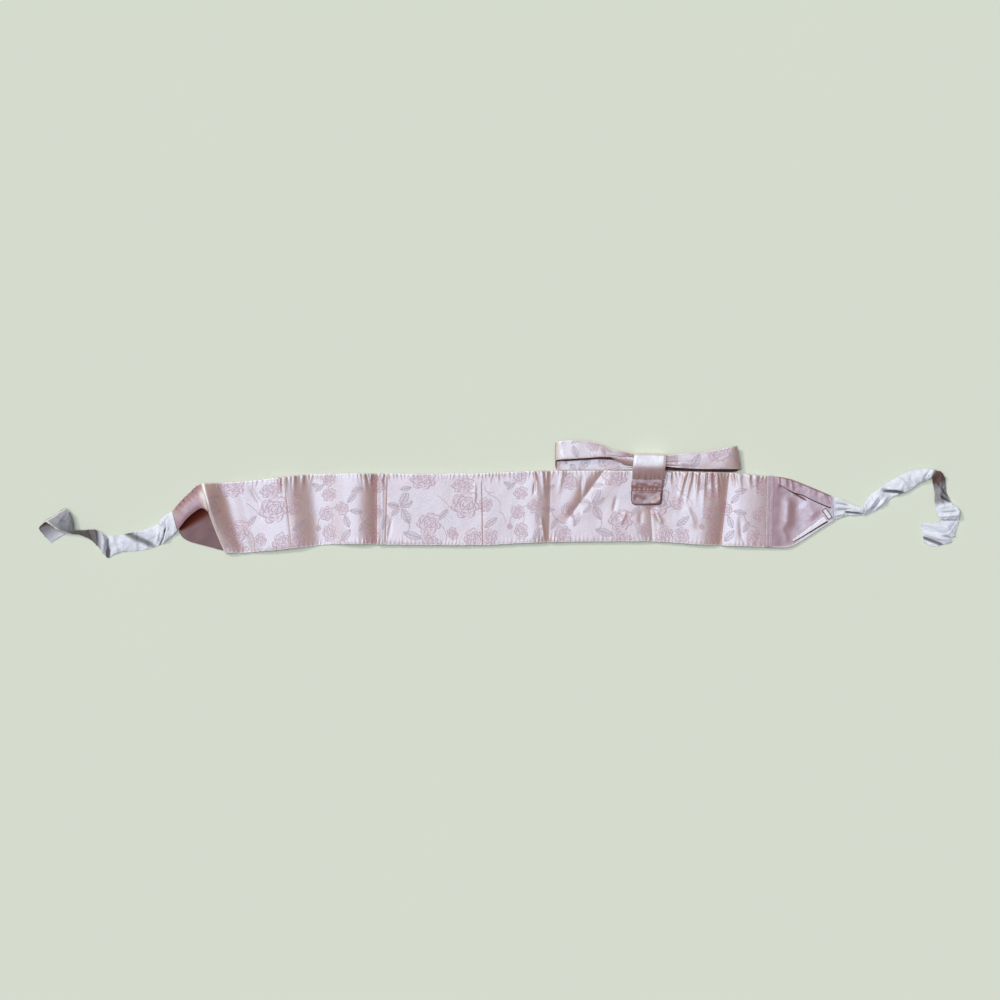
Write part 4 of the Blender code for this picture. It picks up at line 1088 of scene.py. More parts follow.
def rose_satin(name, groups):
    made, tree, shader = new_material(name, 0.34)
    place = cloth_place(tree)
    design = use(
        tree, groups["design"], Rose=motif_place(tree, "rose"), Leaf=motif_place(tree, "leaf"),
        Stem=motif_place(tree, "stem"),
    )
    weave = use(tree, groups["weave"], Place=place, Thread=0.5, Crumple=1.0)
    colour = blend(tree, ramp(tree, weave["Blush"], 0.42, 0.7, 0.0, 0.4), SATIN_GROUND, SATIN_BLUSH)
    colour = blend(tree, calc(tree, "MULTIPLY", design["Petal"], 0.6), colour, SATIN_PETAL)
    colour = blend(tree, calc(tree, "MULTIPLY", design["Leaf"], 0.55), colour, SATIN_LEAF)
    colour = blend(tree, calc(tree, "MULTIPLY", design["Shade"], 0.2), colour, SATIN_LINE)
    colour = blend(tree, calc(tree, "MULTIPLY", design["Line"], 0.66), colour, SATIN_LINE)
    colour = blend(tree, ramp(tree, weave["Fleck"], 0.35, 0.75, 0.0, 0.3), colour, SATIN_PETAL)
    # Painted highlight where a piece has a rim
    rim = tree.nodes.new("ShaderNodeAttribute")
    rim.attribute_name = "rim"
    colour = blend(tree, rim.outputs["Fac"], colour, SATIN_PAINTED_HIGHLIGHT)
    # Painted shade where a piece has a depth: darker, and its sheen taken away through Metallic and Roughness
    depth = tree.nodes.new("ShaderNodeAttribute")
    depth.attribute_name = "depth"
    feed(tree, shader.inputs["Base Color"], blend(tree, depth.outputs["Fac"], colour, FOLD_PAINTED_SHADE))
    feed(tree, shader.inputs["Metallic"], depth.outputs["Fac"])
    rough = calc(tree, "MULTIPLY_ADD", design["Petal"], 0.025, 0.38)
    rough = calc(tree, "MULTIPLY_ADD", design["Leaf"], 0.03, rough)
    rough = calc(tree, "MULTIPLY_ADD", design["Line"], 0.10, rough)
    rough = calc(tree, "MULTIPLY_ADD", weave["Cloud"], 0.04, rough)
    rough = calc(tree, "MULTIPLY_ADD", weave["Fleck"], 0.05, calc(tree, "SUBTRACT", rough, 0.025))
    feed(tree, shader.inputs["Roughness"], calc(tree, "MULTIPLY_ADD", depth.outputs["Fac"], 0.5, rough, clamp=True))
    shader.inputs["IOR"].default_value = SATIN_IOR
    shader.inputs["Specular IOR Level"].default_value = 0.72
    shader.inputs["Specular Tint"].default_value = SATIN_SHEEN
    height = calc(tree, "MULTIPLY_ADD", design["Petal"], 0.35, weave["Height"])
    height = calc(tree, "MULTIPLY_ADD", design["Line"], -0.5, height)
    bump(tree, shader, height, 0.00012)
    return made


def plain_satin(name, groups, base, deep=FOLD_PAINTED_SHADE, rough=0.32, ior=SATIN_IOR, level=0.72):
    """Unpatterned satin; where a piece has a depth, painted shade darkens it and takes its sheen away; where it has
    a rim, a painted highlight lightens it.
    """
    made, tree, shader = new_material(name, rough)
    place = cloth_place(tree)
    weave = use(tree, groups["weave"], Place=place, Thread=0.6, Crumple=1.2)
    shaded = tuple(0.84 * c for c in base[:3]) + (1.0,)
    colour = blend(tree, ramp(tree, weave["Cloud"], 0.35, 0.7), base, shaded)
    colour = blend(tree, ramp(tree, weave["Fleck"], 0.4, 0.75, 0.0, 0.5), colour, shaded)
    # Painted highlight where a piece has a rim, painted shade where it has a depth
    rim = tree.nodes.new("ShaderNodeAttribute")
    rim.attribute_name = "rim"
    colour = blend(tree, rim.outputs["Fac"], colour, SATIN_PAINTED_HIGHLIGHT)
    depth = tree.nodes.new("ShaderNodeAttribute")
    depth.attribute_name = "depth"
    feed(tree, shader.inputs["Base Color"], blend(tree, depth.outputs["Fac"], colour, deep))
    feed(tree, shader.inputs["Metallic"], depth.outputs["Fac"])
    uneven = calc(tree, "MULTIPLY_ADD", weave["Cloud"], 0.10, rough)
    uneven = calc(tree, "MULTIPLY_ADD", weave["Fleck"], 0.05, uneven)
    feed(tree, shader.inputs["Roughness"], calc(tree, "MULTIPLY_ADD", depth.outputs["Fac"], 0.6, uneven, clamp=True))
    shader.inputs["IOR"].default_value = ior
    shader.inputs["Specular IOR Level"].default_value = level
    shader.inputs["Specular Tint"].default_value = SATIN_SHEEN
    bump(tree, shader, weave["Height"], 0.00016)
    return made


def cotton_tape(name, groups, light, dark):
    made, tree, shader = new_material(name, 0.85)
    place = cloth_place(tree)
    weave = use(tree, groups["tape"], Place=place, Crease=1.0)
    colour = blend(tree, ramp(tree, weave["Cloud"], 0.3, 0.75), light, dark)
    # Painted shade mixed with the tape's greyer reverse where a piece has a depth
    depth = tree.nodes.new("ShaderNodeAttribute")
    depth.attribute_name = "depth"
    colour = blend(tree, ramp(tree, depth.outputs["Fac"], 0.0, 0.6), colour, TAPE_GREY_AND_PAINTED_SHADE)
    colour = blend(tree, ramp(tree, depth.outputs["Fac"], 0.6, 1.0), colour, TAPE_REVERSE_AND_PAINTED_SHADE)
    # Painted highlight where a piece has a rim
    rim = tree.nodes.new("ShaderNodeAttribute")
    rim.attribute_name = "rim"
    colour = blend(tree, rim.outputs["Fac"], colour, SATIN_PAINTED_HIGHLIGHT)
    feed(tree, shader.inputs["Base Color"], colour)
    shader.inputs["Specular IOR Level"].default_value = 0.3
    bump(tree, shader, weave["Height"], 0.0005)
    return made


def thread(name, colour):
    made, tree, shader = new_material(name, 0.6)
    place = tree.nodes.new("ShaderNodeTexCoord").outputs["Object"]
    tone, _ = cloudy(tree, place, 900.0)
    shader.inputs["Specular IOR Level"].default_value = 0.2
    feed(tree, shader.inputs["Base Color"], blend(tree, tone, colour, tuple(0.75 * c for c in colour[:3]) + (1.0,)))
    return made


# Stitches and loose threads

def new_geometry_group(name, inputs):
    tree = bpy.data.node_groups.new(name, "GeometryNodeTree")
    tree.interface.new_socket("Geometry", in_out="INPUT", socket_type="NodeSocketGeometry")
    for label, kind, value in inputs:
        socket = tree.interface.new_socket(label, in_out="INPUT", socket_type="NodeSocket" + kind)
        if value is not None:
            socket.default_value = value
    tree.interface.new_socket("Geometry", in_out="OUTPUT", socket_type="NodeSocketGeometry")
    return tree, tree.nodes.new("NodeGroupInput").outputs, tree.nodes.new("NodeGroupOutput").inputs


def stitch_tree():
    """Rounded stitches laid end to end along a path, with a small gap between them."""
    tree, entry, leave = new_geometry_group(
        "stitches",
        [
            ("Pitch", "Float", 2.6 * MM), ("Length", "Float", 1.9 * MM), ("Thickness", "Float", 0.5 * MM),
            ("Thread", "Material", None),
        ],
    )
    nodes, links = tree.nodes, tree.links
    path = nodes.new("GeometryNodeMeshToCurve")
    links.new(entry["Geometry"], path.inputs["Mesh"])
    points = nodes.new("GeometryNodeCurveToPoints")
    points.mode = "LENGTH"
    links.new(path.outputs["Curve"], points.inputs["Curve"])
    links.new(entry["Pitch"], points.inputs["Length"])
    ball = nodes.new("GeometryNodeMeshIcoSphere")
    ball.inputs["Radius"].default_value = 0.5
    ball.inputs["Subdivisions"].default_value = 2
    size = nodes.new("ShaderNodeCombineXYZ")
    links.new(entry["Thickness"], size.inputs["X"])
    links.new(entry["Thickness"], size.inputs["Y"])
    links.new(entry["Length"], size.inputs["Z"])
    placed = nodes.new("GeometryNodeInstanceOnPoints")
    links.new(points.outputs["Points"], placed.inputs["Points"])
    links.new(ball.outputs["Mesh"], placed.inputs["Instance"])
    links.new(points.outputs["Rotation"], placed.inputs["Rotation"])
    links.new(size.outputs["Vector"], placed.inputs["Scale"])
    real = nodes.new("GeometryNodeRealizeInstances")
    links.new(placed.outputs["Instances"], real.inputs["Geometry"])
    smooth = nodes.new("GeometryNodeSetShadeSmooth")
    links.new(real.outputs["Geometry"], smooth.inputs["Geometry"])
    coat = nodes.new("GeometryNodeSetMaterial")
    links.new(smooth.outputs["Geometry"], coat.inputs["Geometry"])
    links.new(entry["Thread"], coat.inputs["Material"])
    links.new(coat.outputs["Geometry"], leave["Geometry"])
    return tree


def fray_tree():
    """Short loose threads that stand out of a raw edge, each bent and turned its own way."""
    tree, entry, leave = new_geometry_group(
        "frayed edge",
        [
            ("Pitch", "Float", 0.9 * MM), ("Length", "Float", 2.6 * MM), ("Thickness", "Float", 0.09 * MM),
            ("Seed", "Int", 3), ("Thread", "Material", None),
        ],
    )
    nodes, links = tree.nodes, tree.links
    path = nodes.new("GeometryNodeMeshToCurve")
    links.new(entry["Geometry"], path.inputs["Mesh"])
    points = nodes.new("GeometryNodeCurveToPoints")
    points.mode = "LENGTH"
    links.new(path.outputs["Curve"], points.inputs["Curve"])
    links.new(entry["Pitch"], points.inputs["Length"])
    strand = nodes.new("GeometryNodeCurvePrimitiveBezierSegment")
    strand.inputs["Resolution"].default_value = 5
    strand.inputs["Start"].default_value = (0.0, 0.0, 0.0)
    strand.inputs["Start Handle"].default_value = (0.4, 0.0, 0.0)
    strand.inputs["End Handle"].default_value = (0.7, 0.35, 0.1)
    strand.inputs["End"].default_value = (1.0, 0.5, 0.0)
    turn = nodes.new("FunctionNodeRandomValue")
    turn.data_type = "FLOAT_VECTOR"
    turn.inputs[0].default_value = (0.0, -0.25, -1.1)
    turn.inputs[1].default_value = (0.0, 0.1, 1.1)
    links.new(entry["Seed"], turn.inputs["Seed"])
    grow = nodes.new("FunctionNodeRandomValue")
    grow.data_type = "FLOAT"
    grow.inputs[2].default_value = 0.25
    grow.inputs[3].default_value = 1.0
    links.new(entry["Seed"], grow.inputs["Seed"])
    reach = nodes.new("ShaderNodeMath")
    reach.operation = "MULTIPLY"
    links.new(grow.outputs[1], reach.inputs[0])
    links.new(entry["Length"], reach.inputs[1])
    placed = nodes.new("GeometryNodeInstanceOnPoints")
    links.new(points.outputs["Points"], placed.inputs["Points"])
    links.new(strand.outputs["Curve"], placed.inputs["Instance"])
    links.new(turn.outputs[0], placed.inputs["Rotation"])
    links.new(reach.outputs[0], placed.inputs["Scale"])
    real = nodes.new("GeometryNodeRealizeInstances")
    links.new(placed.outputs["Instances"], real.inputs["Geometry"])
    round_thread = nodes.new("GeometryNodeCurvePrimitiveCircle")
    round_thread.inputs["Resolution"].default_value = 4
    links.new(entry["Thickness"], round_thread.inputs["Radius"])
    skin = nodes.new("GeometryNodeCurveToMesh")
    links.new(real.outputs["Geometry"], skin.inputs["Curve"])
    links.new(round_thread.outputs["Curve"], skin.inputs["Profile Curve"])
    skin.inputs["Fill Caps"].default_value = True
    coat = nodes.new("GeometryNodeSetMaterial")
    links.new(skin.outputs["Mesh"], coat.inputs["Geometry"])
    links.new(entry["Thread"], coat.inputs["Material"])
    links.new(coat.outputs["Geometry"], leave["Geometry"])
    return tree


def along_path(name, runs, tree, settings):
    """One mesh of what a geometry tree lays along runs of points (mm)."""
    points = [tuple(np.array(p) * MM) for run in runs for p in run]
    edges = []
    start = 0
    for run in runs:
        edges += [(k, k + 1) for k in range(start, start + len(run) - 1)]
        start += len(run)
    mesh = bpy.data.meshes.new(name)
    mesh.from_pydata(points, edges, [])
    made = bpy.data.objects.new(name, mesh)
    bpy.context.scene.collection.objects.link(made)
    layer = made.modifiers.new("lay", "NODES")
    layer.node_group = tree
    for socket in tree.interface.items_tree:
        if socket.item_type == "SOCKET" and socket.in_out == "INPUT" and socket.name in settings:
            layer[socket.identifier] = settings[socket.name]
    evaluated = made.evaluated_get(bpy.context.evaluated_depsgraph_get())
    result = bpy.data.meshes.new_from_object(evaluated)
    made.modifiers.clear()
    made.data = result
    return made


# The pieces

def front_columns(pitch):
    lines = [CREASE_LEFT]
    for fold in FOLDS:
        lines.append((fold.x_top, fold.x_bottom))
        lines.append((fold.x_top + fold.edge, fold.x_bottom + fold.edge))
    lines.append(SEAM_RIGHT)
    columns = []
    for (top_a, bottom_a), (top_b, bottom_b) in zip(lines, lines[1:]):
        steps = max(2, round((top_b - top_a) / pitch))
        for k in range(steps):
            share = k / steps
            columns.append((mix(top_a, top_b, share), mix(bottom_a, bottom_b, share)))
    columns.append(SEAM_RIGHT)
    return np.array(columns)


def edge_rows(middle_rows):
    """Shares across the band, close together near both edges."""
    near = np.array((0.0, 0.0012, 0.005, 0.010, 0.016, 0.025, 0.036, 0.05, 0.066, 0.084, 0.105, 0.13, 0.16))
    middle = np.linspace(0.16, 0.84, middle_rows + 2)[1:-1]
    return np.concatenate([near, middle, 1.0 - near[::-1]])


def make_front(material):
    columns = front_columns(0.85)
    t = edge_rows(24)[:, None]
    x = bowed(mix(columns[None, :, 0], columns[None, :, 1], t), t)
    y = band_y(x, t)
    z = front_height(x, t)
    inside = ease(t / 0.08) * ease((1.0 - t) / 0.08)
    z = z + 0.35 * wander(x, y, 46.0, 1.7) * inside + 0.10 * wander(x, y, 13.0, 4.1) * inside
    uneven = 0.35 * wander(x, y * 0.0, 7.0, 9.3) + 0.2 * wander(x, y * 0.0, 3.1, 2.2)
    y = y + uneven * (np.exp(-t / 0.03) - np.exp(-(1.0 - t) / 0.03))
    outer = np.stack([x, y, z], axis=2)
    lip = [outer[:, :1] + np.array((along, 0.0, down)) for along, down in CREASE_LIP]
    outer = np.concatenate(lip + [outer], axis=1)
    middle = 0.5 * (read(BAND_EDGES, "top", outer[..., 0]) + read(BAND_EDGES, "bottom", outer[..., 0]))
    place = np.stack([outer[..., 0] - REPEAT_START, outer[..., 1] - middle], axis=2)
    wide = read(BAND_EDGES, "top", outer[..., 0]) - read(BAND_EDGES, "bottom", outer[..., 0])
    # Painted highlight: pale along both long edges and beside the left crease
    rim = 0.9 * (1.0 - ease(np.minimum(t, 1.0 - t) * wide / 1.7))
    off = outer[..., 0] - bowed(mix(*CREASE_LEFT, t), t)
    reach = mix(6.0, 2.0, ease((t - 0.15) / 0.3))
    rim = np.maximum(rim, 0.7 * (1.0 - ease(off / reach)))
    return cloth("front_cloth", outer, SATIN_WALL, material, place, rim=rim, woven=place)


def make_back(material):
    """The flat back panel, a little inside the front's edges."""
    t = np.linspace(0.0, 1.0, 9)[:, None]
    left = mix(CREASE_LEFT[0] + 13.5, CREASE_LEFT[1] + 9.0, t)
    x = mix(left, END_EDGES[-1].x, np.linspace(0.0, 1.0, 160)[None, :])
    top = np.where(x < END_EDGES[0].x, read(BAND_EDGES, "top", x), read(END_EDGES, "top", x)) - 0.5
    bottom = np.where(x < END_EDGES[0].x, read(BAND_EDGES, "bottom", x), read(END_EDGES, "bottom", x)) + 0.5
    y = mix(top, bottom, t)
    outer = np.stack([x, y, np.full_like(x, BACK_WALL)], axis=2)
    inner = outer - np.array((0.0, 0.0, BACK_WALL))
    return cloth("back_cloth", outer, BACK_WALL, material, np.stack([x, y], axis=2), inner=inner)


def make_left_roll(material):
    points = ruled(ROLL_LEFT, 16, 26)
    run = np.linspace(0.0, 1.0, points.shape[0])[:, None]
    over = np.linspace(0.0, 1.0, points.shape[1])[None, :]
    heights = np.zeros(points.shape[:2])
    shade = np.zeros(points.shape[:2])
    for at, width, height, reach in ROLL_PUCKERS:
        middle = at - 0.12 * over
        heights += height * np.exp(-(((run - middle) / width) ** 2)) * np.exp(-((over / reach) ** 2))
        # Painted shade in each pucker's furrow
        furrow = np.exp(-(((run - middle - 0.05) / 0.016) ** 2))
        shade = np.maximum(shade, 0.8 * height * furrow * (1.0 - ease(over / (0.7 * reach))))
    heights += 0.3 * wander(points[..., 0], points[..., 1], 14.0, 3.3)
    heights *= ease(run / 0.08) * ease((1.0 - run) / 0.05)
    shade = np.clip(shade, 0.0, 0.9)
    # Painted highlight on the roll's right end, near the crease
    rim = 0.75 * (1.0 - ease((run - 0.06) / 0.26)) * ease((over - 0.1) / 0.3) * (1.0 - ease((over - 0.85) / 0.15))
    return cloth("left_roll_cloth", raised(points, heights, False), SATIN_WALL, material, shade=shade, rim=rim)


def make_left_flap(material):
    points = ruled(FLAP_LEFT, 8, 24)
    over = np.linspace(0.0, 1.0, points.shape[1])[None, :]
    heights = 0.35 * np.abs(wander(points[..., 0], points[..., 1], 12.0, 6.1))
    run = np.linspace(0.0, 1.0, points.shape[0])[:, None]
    # Painted shadow under the roll's fold line, stronger towards the left
    edge = mix(0.52, 0.16, ease(run / 0.75))
    depth = 0.95 * (1.0 - ease((over - edge) / 0.26)) * (0.3 + 0.7 * ease((0.85 - run) / 0.4))
    outer = above_table(raised(points, heights, True), 0.5)
    return cloth("left_flap_cloth", outer, 0.5, material, turned=True, shade=depth)


def end_height(x, y):
    """Height of the right end's outer side."""
    top = read(END_EDGES, "top", x)
    bottom = read(END_EDGES, "bottom", x)
    down = np.maximum(top - y, 0.0)
    up = np.maximum(y - bottom, 0.0)
    share = ease((x - 342.0) / 36.0)
    full = cushion(down, up)
    swells = sum(crease_height(crease, x, y) for crease in END_SWELLS)
    return FRONT_FLOOR + END_RISE + (mix(2.6, 0.7, share) + swells) * full


def make_end_panel(material):
    t = edge_rows(44)[:, None]
    left = mix(*PANEL_LEFT, t)
    x = mix(left, END_EDGES[-1].x, np.linspace(0.0, 1.0, 100)[None, :])
    y = mix(read(END_EDGES, "top", x), read(END_EDGES, "bottom", x), t)
    z = end_height(x, y) + 0.12 * wander(x, y, 9.0, 8.8)
    down = read(END_EDGES, "top", x) - y
    z = z + sum(pucker_height(p, x, down) for p in END_PUCKERS) * 0.25
    slits = np.clip(sum(crease_height(slit, x, y) for slit in END_SLITS), 0.0, 1.0)
    up = y - read(END_EDGES, "bottom", x)
    # Painted highlight along both edges
    rim = np.maximum(0.75 * (1.0 - ease(up / 3.4)), 0.6 * (1.0 - ease(down / 1.5)))
    outer = np.stack([x, y, z - 0.4 * slits], axis=2)
    # Painted shade in the slits and beside the seam strip
    shade = np.maximum(0.9 * slits, 0.3 * (1.0 - ease((x - 348.0) / 14.0)))
    return cloth("right_end_cloth", outer, SATIN_WALL, material, np.stack([x, y], axis=2), shade=shade, rim=rim)


def make_top_pleat(material):
    x = np.linspace(TOP_PLEAT_FOLD[0].x, TOP_PLEAT_FOLD[-1].x, 90)[None, :]
    top = read(END_EDGES, "top", x) - TOP_PLEAT_INSET
    fold = read(TOP_PLEAT_FOLD, "y", x)
    s = np.concatenate([np.linspace(0.0, 0.90, 20), (0.92, 0.925, 0.96, 1.0)])[:, None]
    x = x + 0.0 * s
    y = mix(top, fold, s)
    down = read(END_EDGES, "top", x) - y
    under = ease((s - 0.92) / 0.08)
    lift = 1.5 * ease(0.3 + s / 0.2) * (1.0 - 0.9 * under)
    ends = ease((x - TOP_PLEAT_FOLD[0].x) / 8.0)
    puckers = 0.7 * sum(pucker_height(p, x, down) for p in END_PUCKERS) * ease((1.0 - s) / 0.6)
    puckers = puckers + 0.35 * wander(x, y, 6.0, 1.9) * ease((1.0 - s) / 0.3)
    z = end_height(x, y) + SEAM_GAP + 1.0 + (lift + puckers) * ends
    outer = np.stack([x, y, z], axis=2)
    # Painted shade: a little all over, and a dark line under the fold's edge
    shade = np.maximum(0.14, ease((s - 0.92) / 0.01) * ease((x - TOP_PLEAT_FOLD[0].x - 6.0) / 8.0))
    return cloth("right_top_pleat_cloth", outer, SATIN_WALL, material, shade=shade)


def make_bottom_pleat(material):
    share = np.linspace(0.0, 1.0, 50)[None, :]
    x_up = mix(*BOTTOM_PLEAT_UPPER_X, share)
    x_low = mix(*BOTTOM_PLEAT_LOWER_X, share)
    upper = read(BOTTOM_PLEAT_FOLD, "y", x_up)
    lower = read(END_EDGES, "bottom", x_low) + mix(*BOTTOM_PLEAT_RISE, share)
    lower = np.minimum(lower, upper - BOTTOM_PLEAT_LEAST)
    s = np.concatenate([np.linspace(0.0, 0.74, 9), (0.8, 0.82, 0.9, 1.0)])[:, None]
    x = mix(x_up, x_low, s)
    y = mix(upper, lower, s)
    level = end_height(x_up, upper) + SEAM_GAP + 1.4
    under = ease((s - 0.8) / 0.2)
    z = np.maximum(level - 1.2 * under - 0.8 * (1.0 - ease(s / 0.12)), end_height(x, y) + SEAM_GAP + 0.75)
    # Painted shadow under the fold, and a painted highlight on the rest of the pleat
    shade = ease((s - 0.79) / 0.03) + 0.0 * x
    outer = np.stack([x, y, z], axis=2)
    return cloth("right_bottom_pleat_cloth", outer, SATIN_WALL, material, shade=shade, rim=0.55 * (1.0 - shade))


def make_seam_strip(material):
    t = edge_rows(16)[:, None]
    s = np.concatenate([np.linspace(0.0, 0.88, 14), (0.94, 1.0)])[None, :]
    x = mix(mix(*STRIP_LEFT, t), mix(*STRIP_RIGHT, t), s)
    top = read(BAND_EDGES, "top", x)
    bottom = read(BAND_EDGES, "bottom", x)
    y = mix(top, bottom, t)
    crown = 0.8 - 0.3 * (1.0 - ease(s / 0.08)) - 0.45 * s
    sewn = 0.1 * (np.exp(-(((s - 0.14) / 0.07) ** 2)) + np.exp(-(((s - 0.6) / 0.07) ** 2)))
    z = FRONT_FLOOR + END_RISE + 2.6 * cushion(t * (top - bottom), (1.0 - t) * (top - bottom)) + crown - sewn
    z = z + 0.18 * wander(x * 0.4, y, 3.2, 5.5)
    # Painted shade all over the strip
    shade = 0.16 + 0.0 * x
    return cloth("seam_strip_cloth", np.stack([x, y, z], axis=2), SATIN_WALL, material, shade=shade)


def strip_row(s):
    """A line of points down the seam strip, where a row of stitches runs."""
    t = np.linspace(0.03, 0.97, 60)
    x = mix(mix(*STRIP_LEFT, t), mix(*STRIP_RIGHT, t), s)
    top = read(BAND_EDGES, "top", x)
    bottom = read(BAND_EDGES, "bottom", x)
    y = mix(top, bottom, t)
    z = FRONT_FLOOR + END_RISE + 2.6 * cushion(t * (top - bottom), (1.0 - t) * (top - bottom)) + 1.0 - 0.45 * s
    return np.stack([x, y, z], axis=1)


def make_tab(material):
    """The small bare tape loop, caught at a slant."""
    length, width = TAB_SIZE
    u = np.concatenate([(-0.5, -0.44), np.linspace(-0.43, 0.43, 14), (0.44, 0.5)])[None, :]
    v = np.concatenate([(0.5, 0.36), np.linspace(0.34, -0.34, 9), (-0.36, -0.5)])[:, None]
    folded = np.maximum(ease((np.abs(u) - 0.43) / 0.07), ease((np.abs(v) - 0.34) / 0.16))
    # Painted shade along the folded edges
    painted_edge_shade = np.maximum(ease((np.abs(u) - 0.43) / 0.01), ease((np.abs(v) - 0.34) / 0.02))
    u = u * length
    v = v * width
    x = TAB_CENTRE[0] + u * math.cos(TAB_TURN) - v * math.sin(TAB_TURN)
    y = TAB_CENTRE[1] + u * math.sin(TAB_TURN) + v * math.cos(TAB_TURN)
    z = end_height(x, y) + SEAM_GAP + 2.4 + 0.25 * np.cos(u / length * math.pi) - 1.6 * folded
    return cloth("size_tab_cloth", np.stack([x, y, z], axis=2), 0.7, material, shade=painted_edge_shade)


def make_tie(name, rulings, creases, tone, curl, turned, seed, material):
    """A creased tape; where it curls over (stations, if any), its fold and its lower edge get a painted highlight.
    """
    points = ruled(rulings, 12, 28)
    run = ribbon_lengths(points)
    s = np.linspace(0.0, 1.0, points.shape[1])[None, :]
    inside = ease(s / 0.06) * ease((1.0 - s) / 0.06)
    heights = 0.9 * wrinkles(run[..., 0], run[..., 1] * 0.6, 15.0, seed)
    heights += 0.35 * wrinkles(run[..., 0], run[..., 1], 6.0, seed + 3.0)
    heights += 0.7 * wander(run[..., 0], run[..., 1], 11.0, seed + 5.0)
    pressed = 1.2 * sum(crease_height(crease, points[..., 0], points[..., 1]) for crease in creases)
    outer = raised(points, heights * inside + pressed * (0.3 + 0.7 * inside), turned)
    edge = 0.6 * wander(run[..., 0], run[..., 1], 1.6, seed + 7.0) * (1.0 - inside)
    outer[..., 0] += edge
    outer[..., 1] += edge
    at = np.linspace(0.0, len(rulings) - 1.0, points.shape[0])
    # The greyer reverse from the table, and painted shade in the pressed furrows
    reverse = read(tone, "z", at, "t")[:, None] + 0.75 * np.clip((-pressed - 0.5) / 3.0, 0.0, 1.0)
    reverse = np.clip(reverse + 0.0 * s, 0.0, 1.0)
    # Painted highlight along the curl
    rim = np.zeros_like(reverse)
    if curl:
        start, top = curl
        along = ease((at[:, None] - start) / 1.0) * (1.0 - ease((at[:, None] - top) / 0.5))
        rim = np.maximum(ease((s - 0.9) / 0.06) * along, np.exp(-(((at[:, None] - top) / 0.16) ** 2)))
    return cloth(name, above_table(outer, TAPE_WALL), TAPE_WALL, material, turned=turned, shade=reverse, rim=rim)


def loop_gathers(points, seed):
    """Pleats that fan out of the keeper along a bow loop, on a grid that starts there."""
    run = ribbon_lengths(points)[..., 0]
    whole = run[-1:, :]
    near = np.minimum(run, whole - run)
    s = np.linspace(0.0, 1.0, points.shape[1])[None, :]
    fan = np.sin(2 * math.pi * (3.2 * s + 0.25 * np.sin(run / 30.0 + seed)))
    return 0.35 * fan * np.exp(-((near / 34.0) ** 2)) + 0.35 * wander(points[..., 0], points[..., 1], 15.0, seed)


def make_loop(name, rulings, turned, seed, cut_at, opening, pale, material):
    points = ruled(rulings, 9, 34)
    s = np.linspace(0.0, 1.0, points.shape[1])[None, :]
    inside = ease(s / 0.08) * ease((1.0 - s) / 0.08)
    outer = raised(points, loop_gathers(points, seed) * inside, turned)
    woven = ribbon_lengths(points) + np.array(cut_at)
    back = np.linspace(0.0, len(rulings) - 1.0, points.shape[0])[:, None]
    below = read(opening, "y", points[..., 0]) - points[..., 1]
    # Painted shade inside the loop's opening
    depth = 0.9 * ease((back - LOOP_TURN) / 0.8) * (1.0 - ease(below / 1.4))
    # Painted highlight along the upper layer's edge and at its turn
    rim = 0.8 * (1.0 - ease(s / 0.07)) * (1.0 - ease((back - 6.0) / 1.0))
    rim = np.maximum(rim, pale * np.exp(-(((back - 7.6) / 0.9) ** 2)))
    return cloth(
        name, above_table(outer, SATIN_WALL), SATIN_WALL, material, turned=turned, shade=depth, rim=rim, woven=woven,
    )


def make_tuck(material):
    points = ruled(BOW_TUCK, 10, 14)
    s = np.linspace(0.0, 1.0, points.shape[1])[None, :]
    outer = raised(points, 0.3 * np.sin(math.pi * s) * np.ones(points.shape[:2]), True)
    woven = ribbon_lengths(points) + np.array(CUT_TUCK)
    # Painted shade along both edges
    shade = 0.7 * np.maximum(1.0 - ease(s / 0.16), ease((s - 0.9) / 0.1)) + 0.0 * outer[..., 0]
    return cloth("bow_tuck_cloth", outer, SATIN_WALL, material, turned=True, shade=shade, woven=woven)


def make_keeper(material):
    points = ruled(KEEPER, 8, 30)
    s = np.linspace(0.0, 1.0, points.shape[1])[None, :]
    run = ribbon_lengths(points)[..., 0]
    inside = ease(s / 0.07) * ease((1.0 - s) / 0.07)
    low = np.exp(-((run / 7.0) ** 2))
    heights = 0.5 * low * np.sin(2 * math.pi * (6.5 * s + 0.2 * np.sin(9.0 * s)))
    heights = heights + 0.3 * wander(points[..., 0], run, 11.0, 2.9)
    heights = heights * inside - 0.5 * (1.0 - inside)
    y = points[..., 1]
    # Painted highlight on the keeper's upper part and top edge
    rim = 0.5 * ease((y - 36.0) / 8.0) + 0.4 * ease((y - 54.4) / 1.2)
    return cloth("keeper_cloth", raised(points, heights, True), 0.9, material, turned=True, rim=rim)


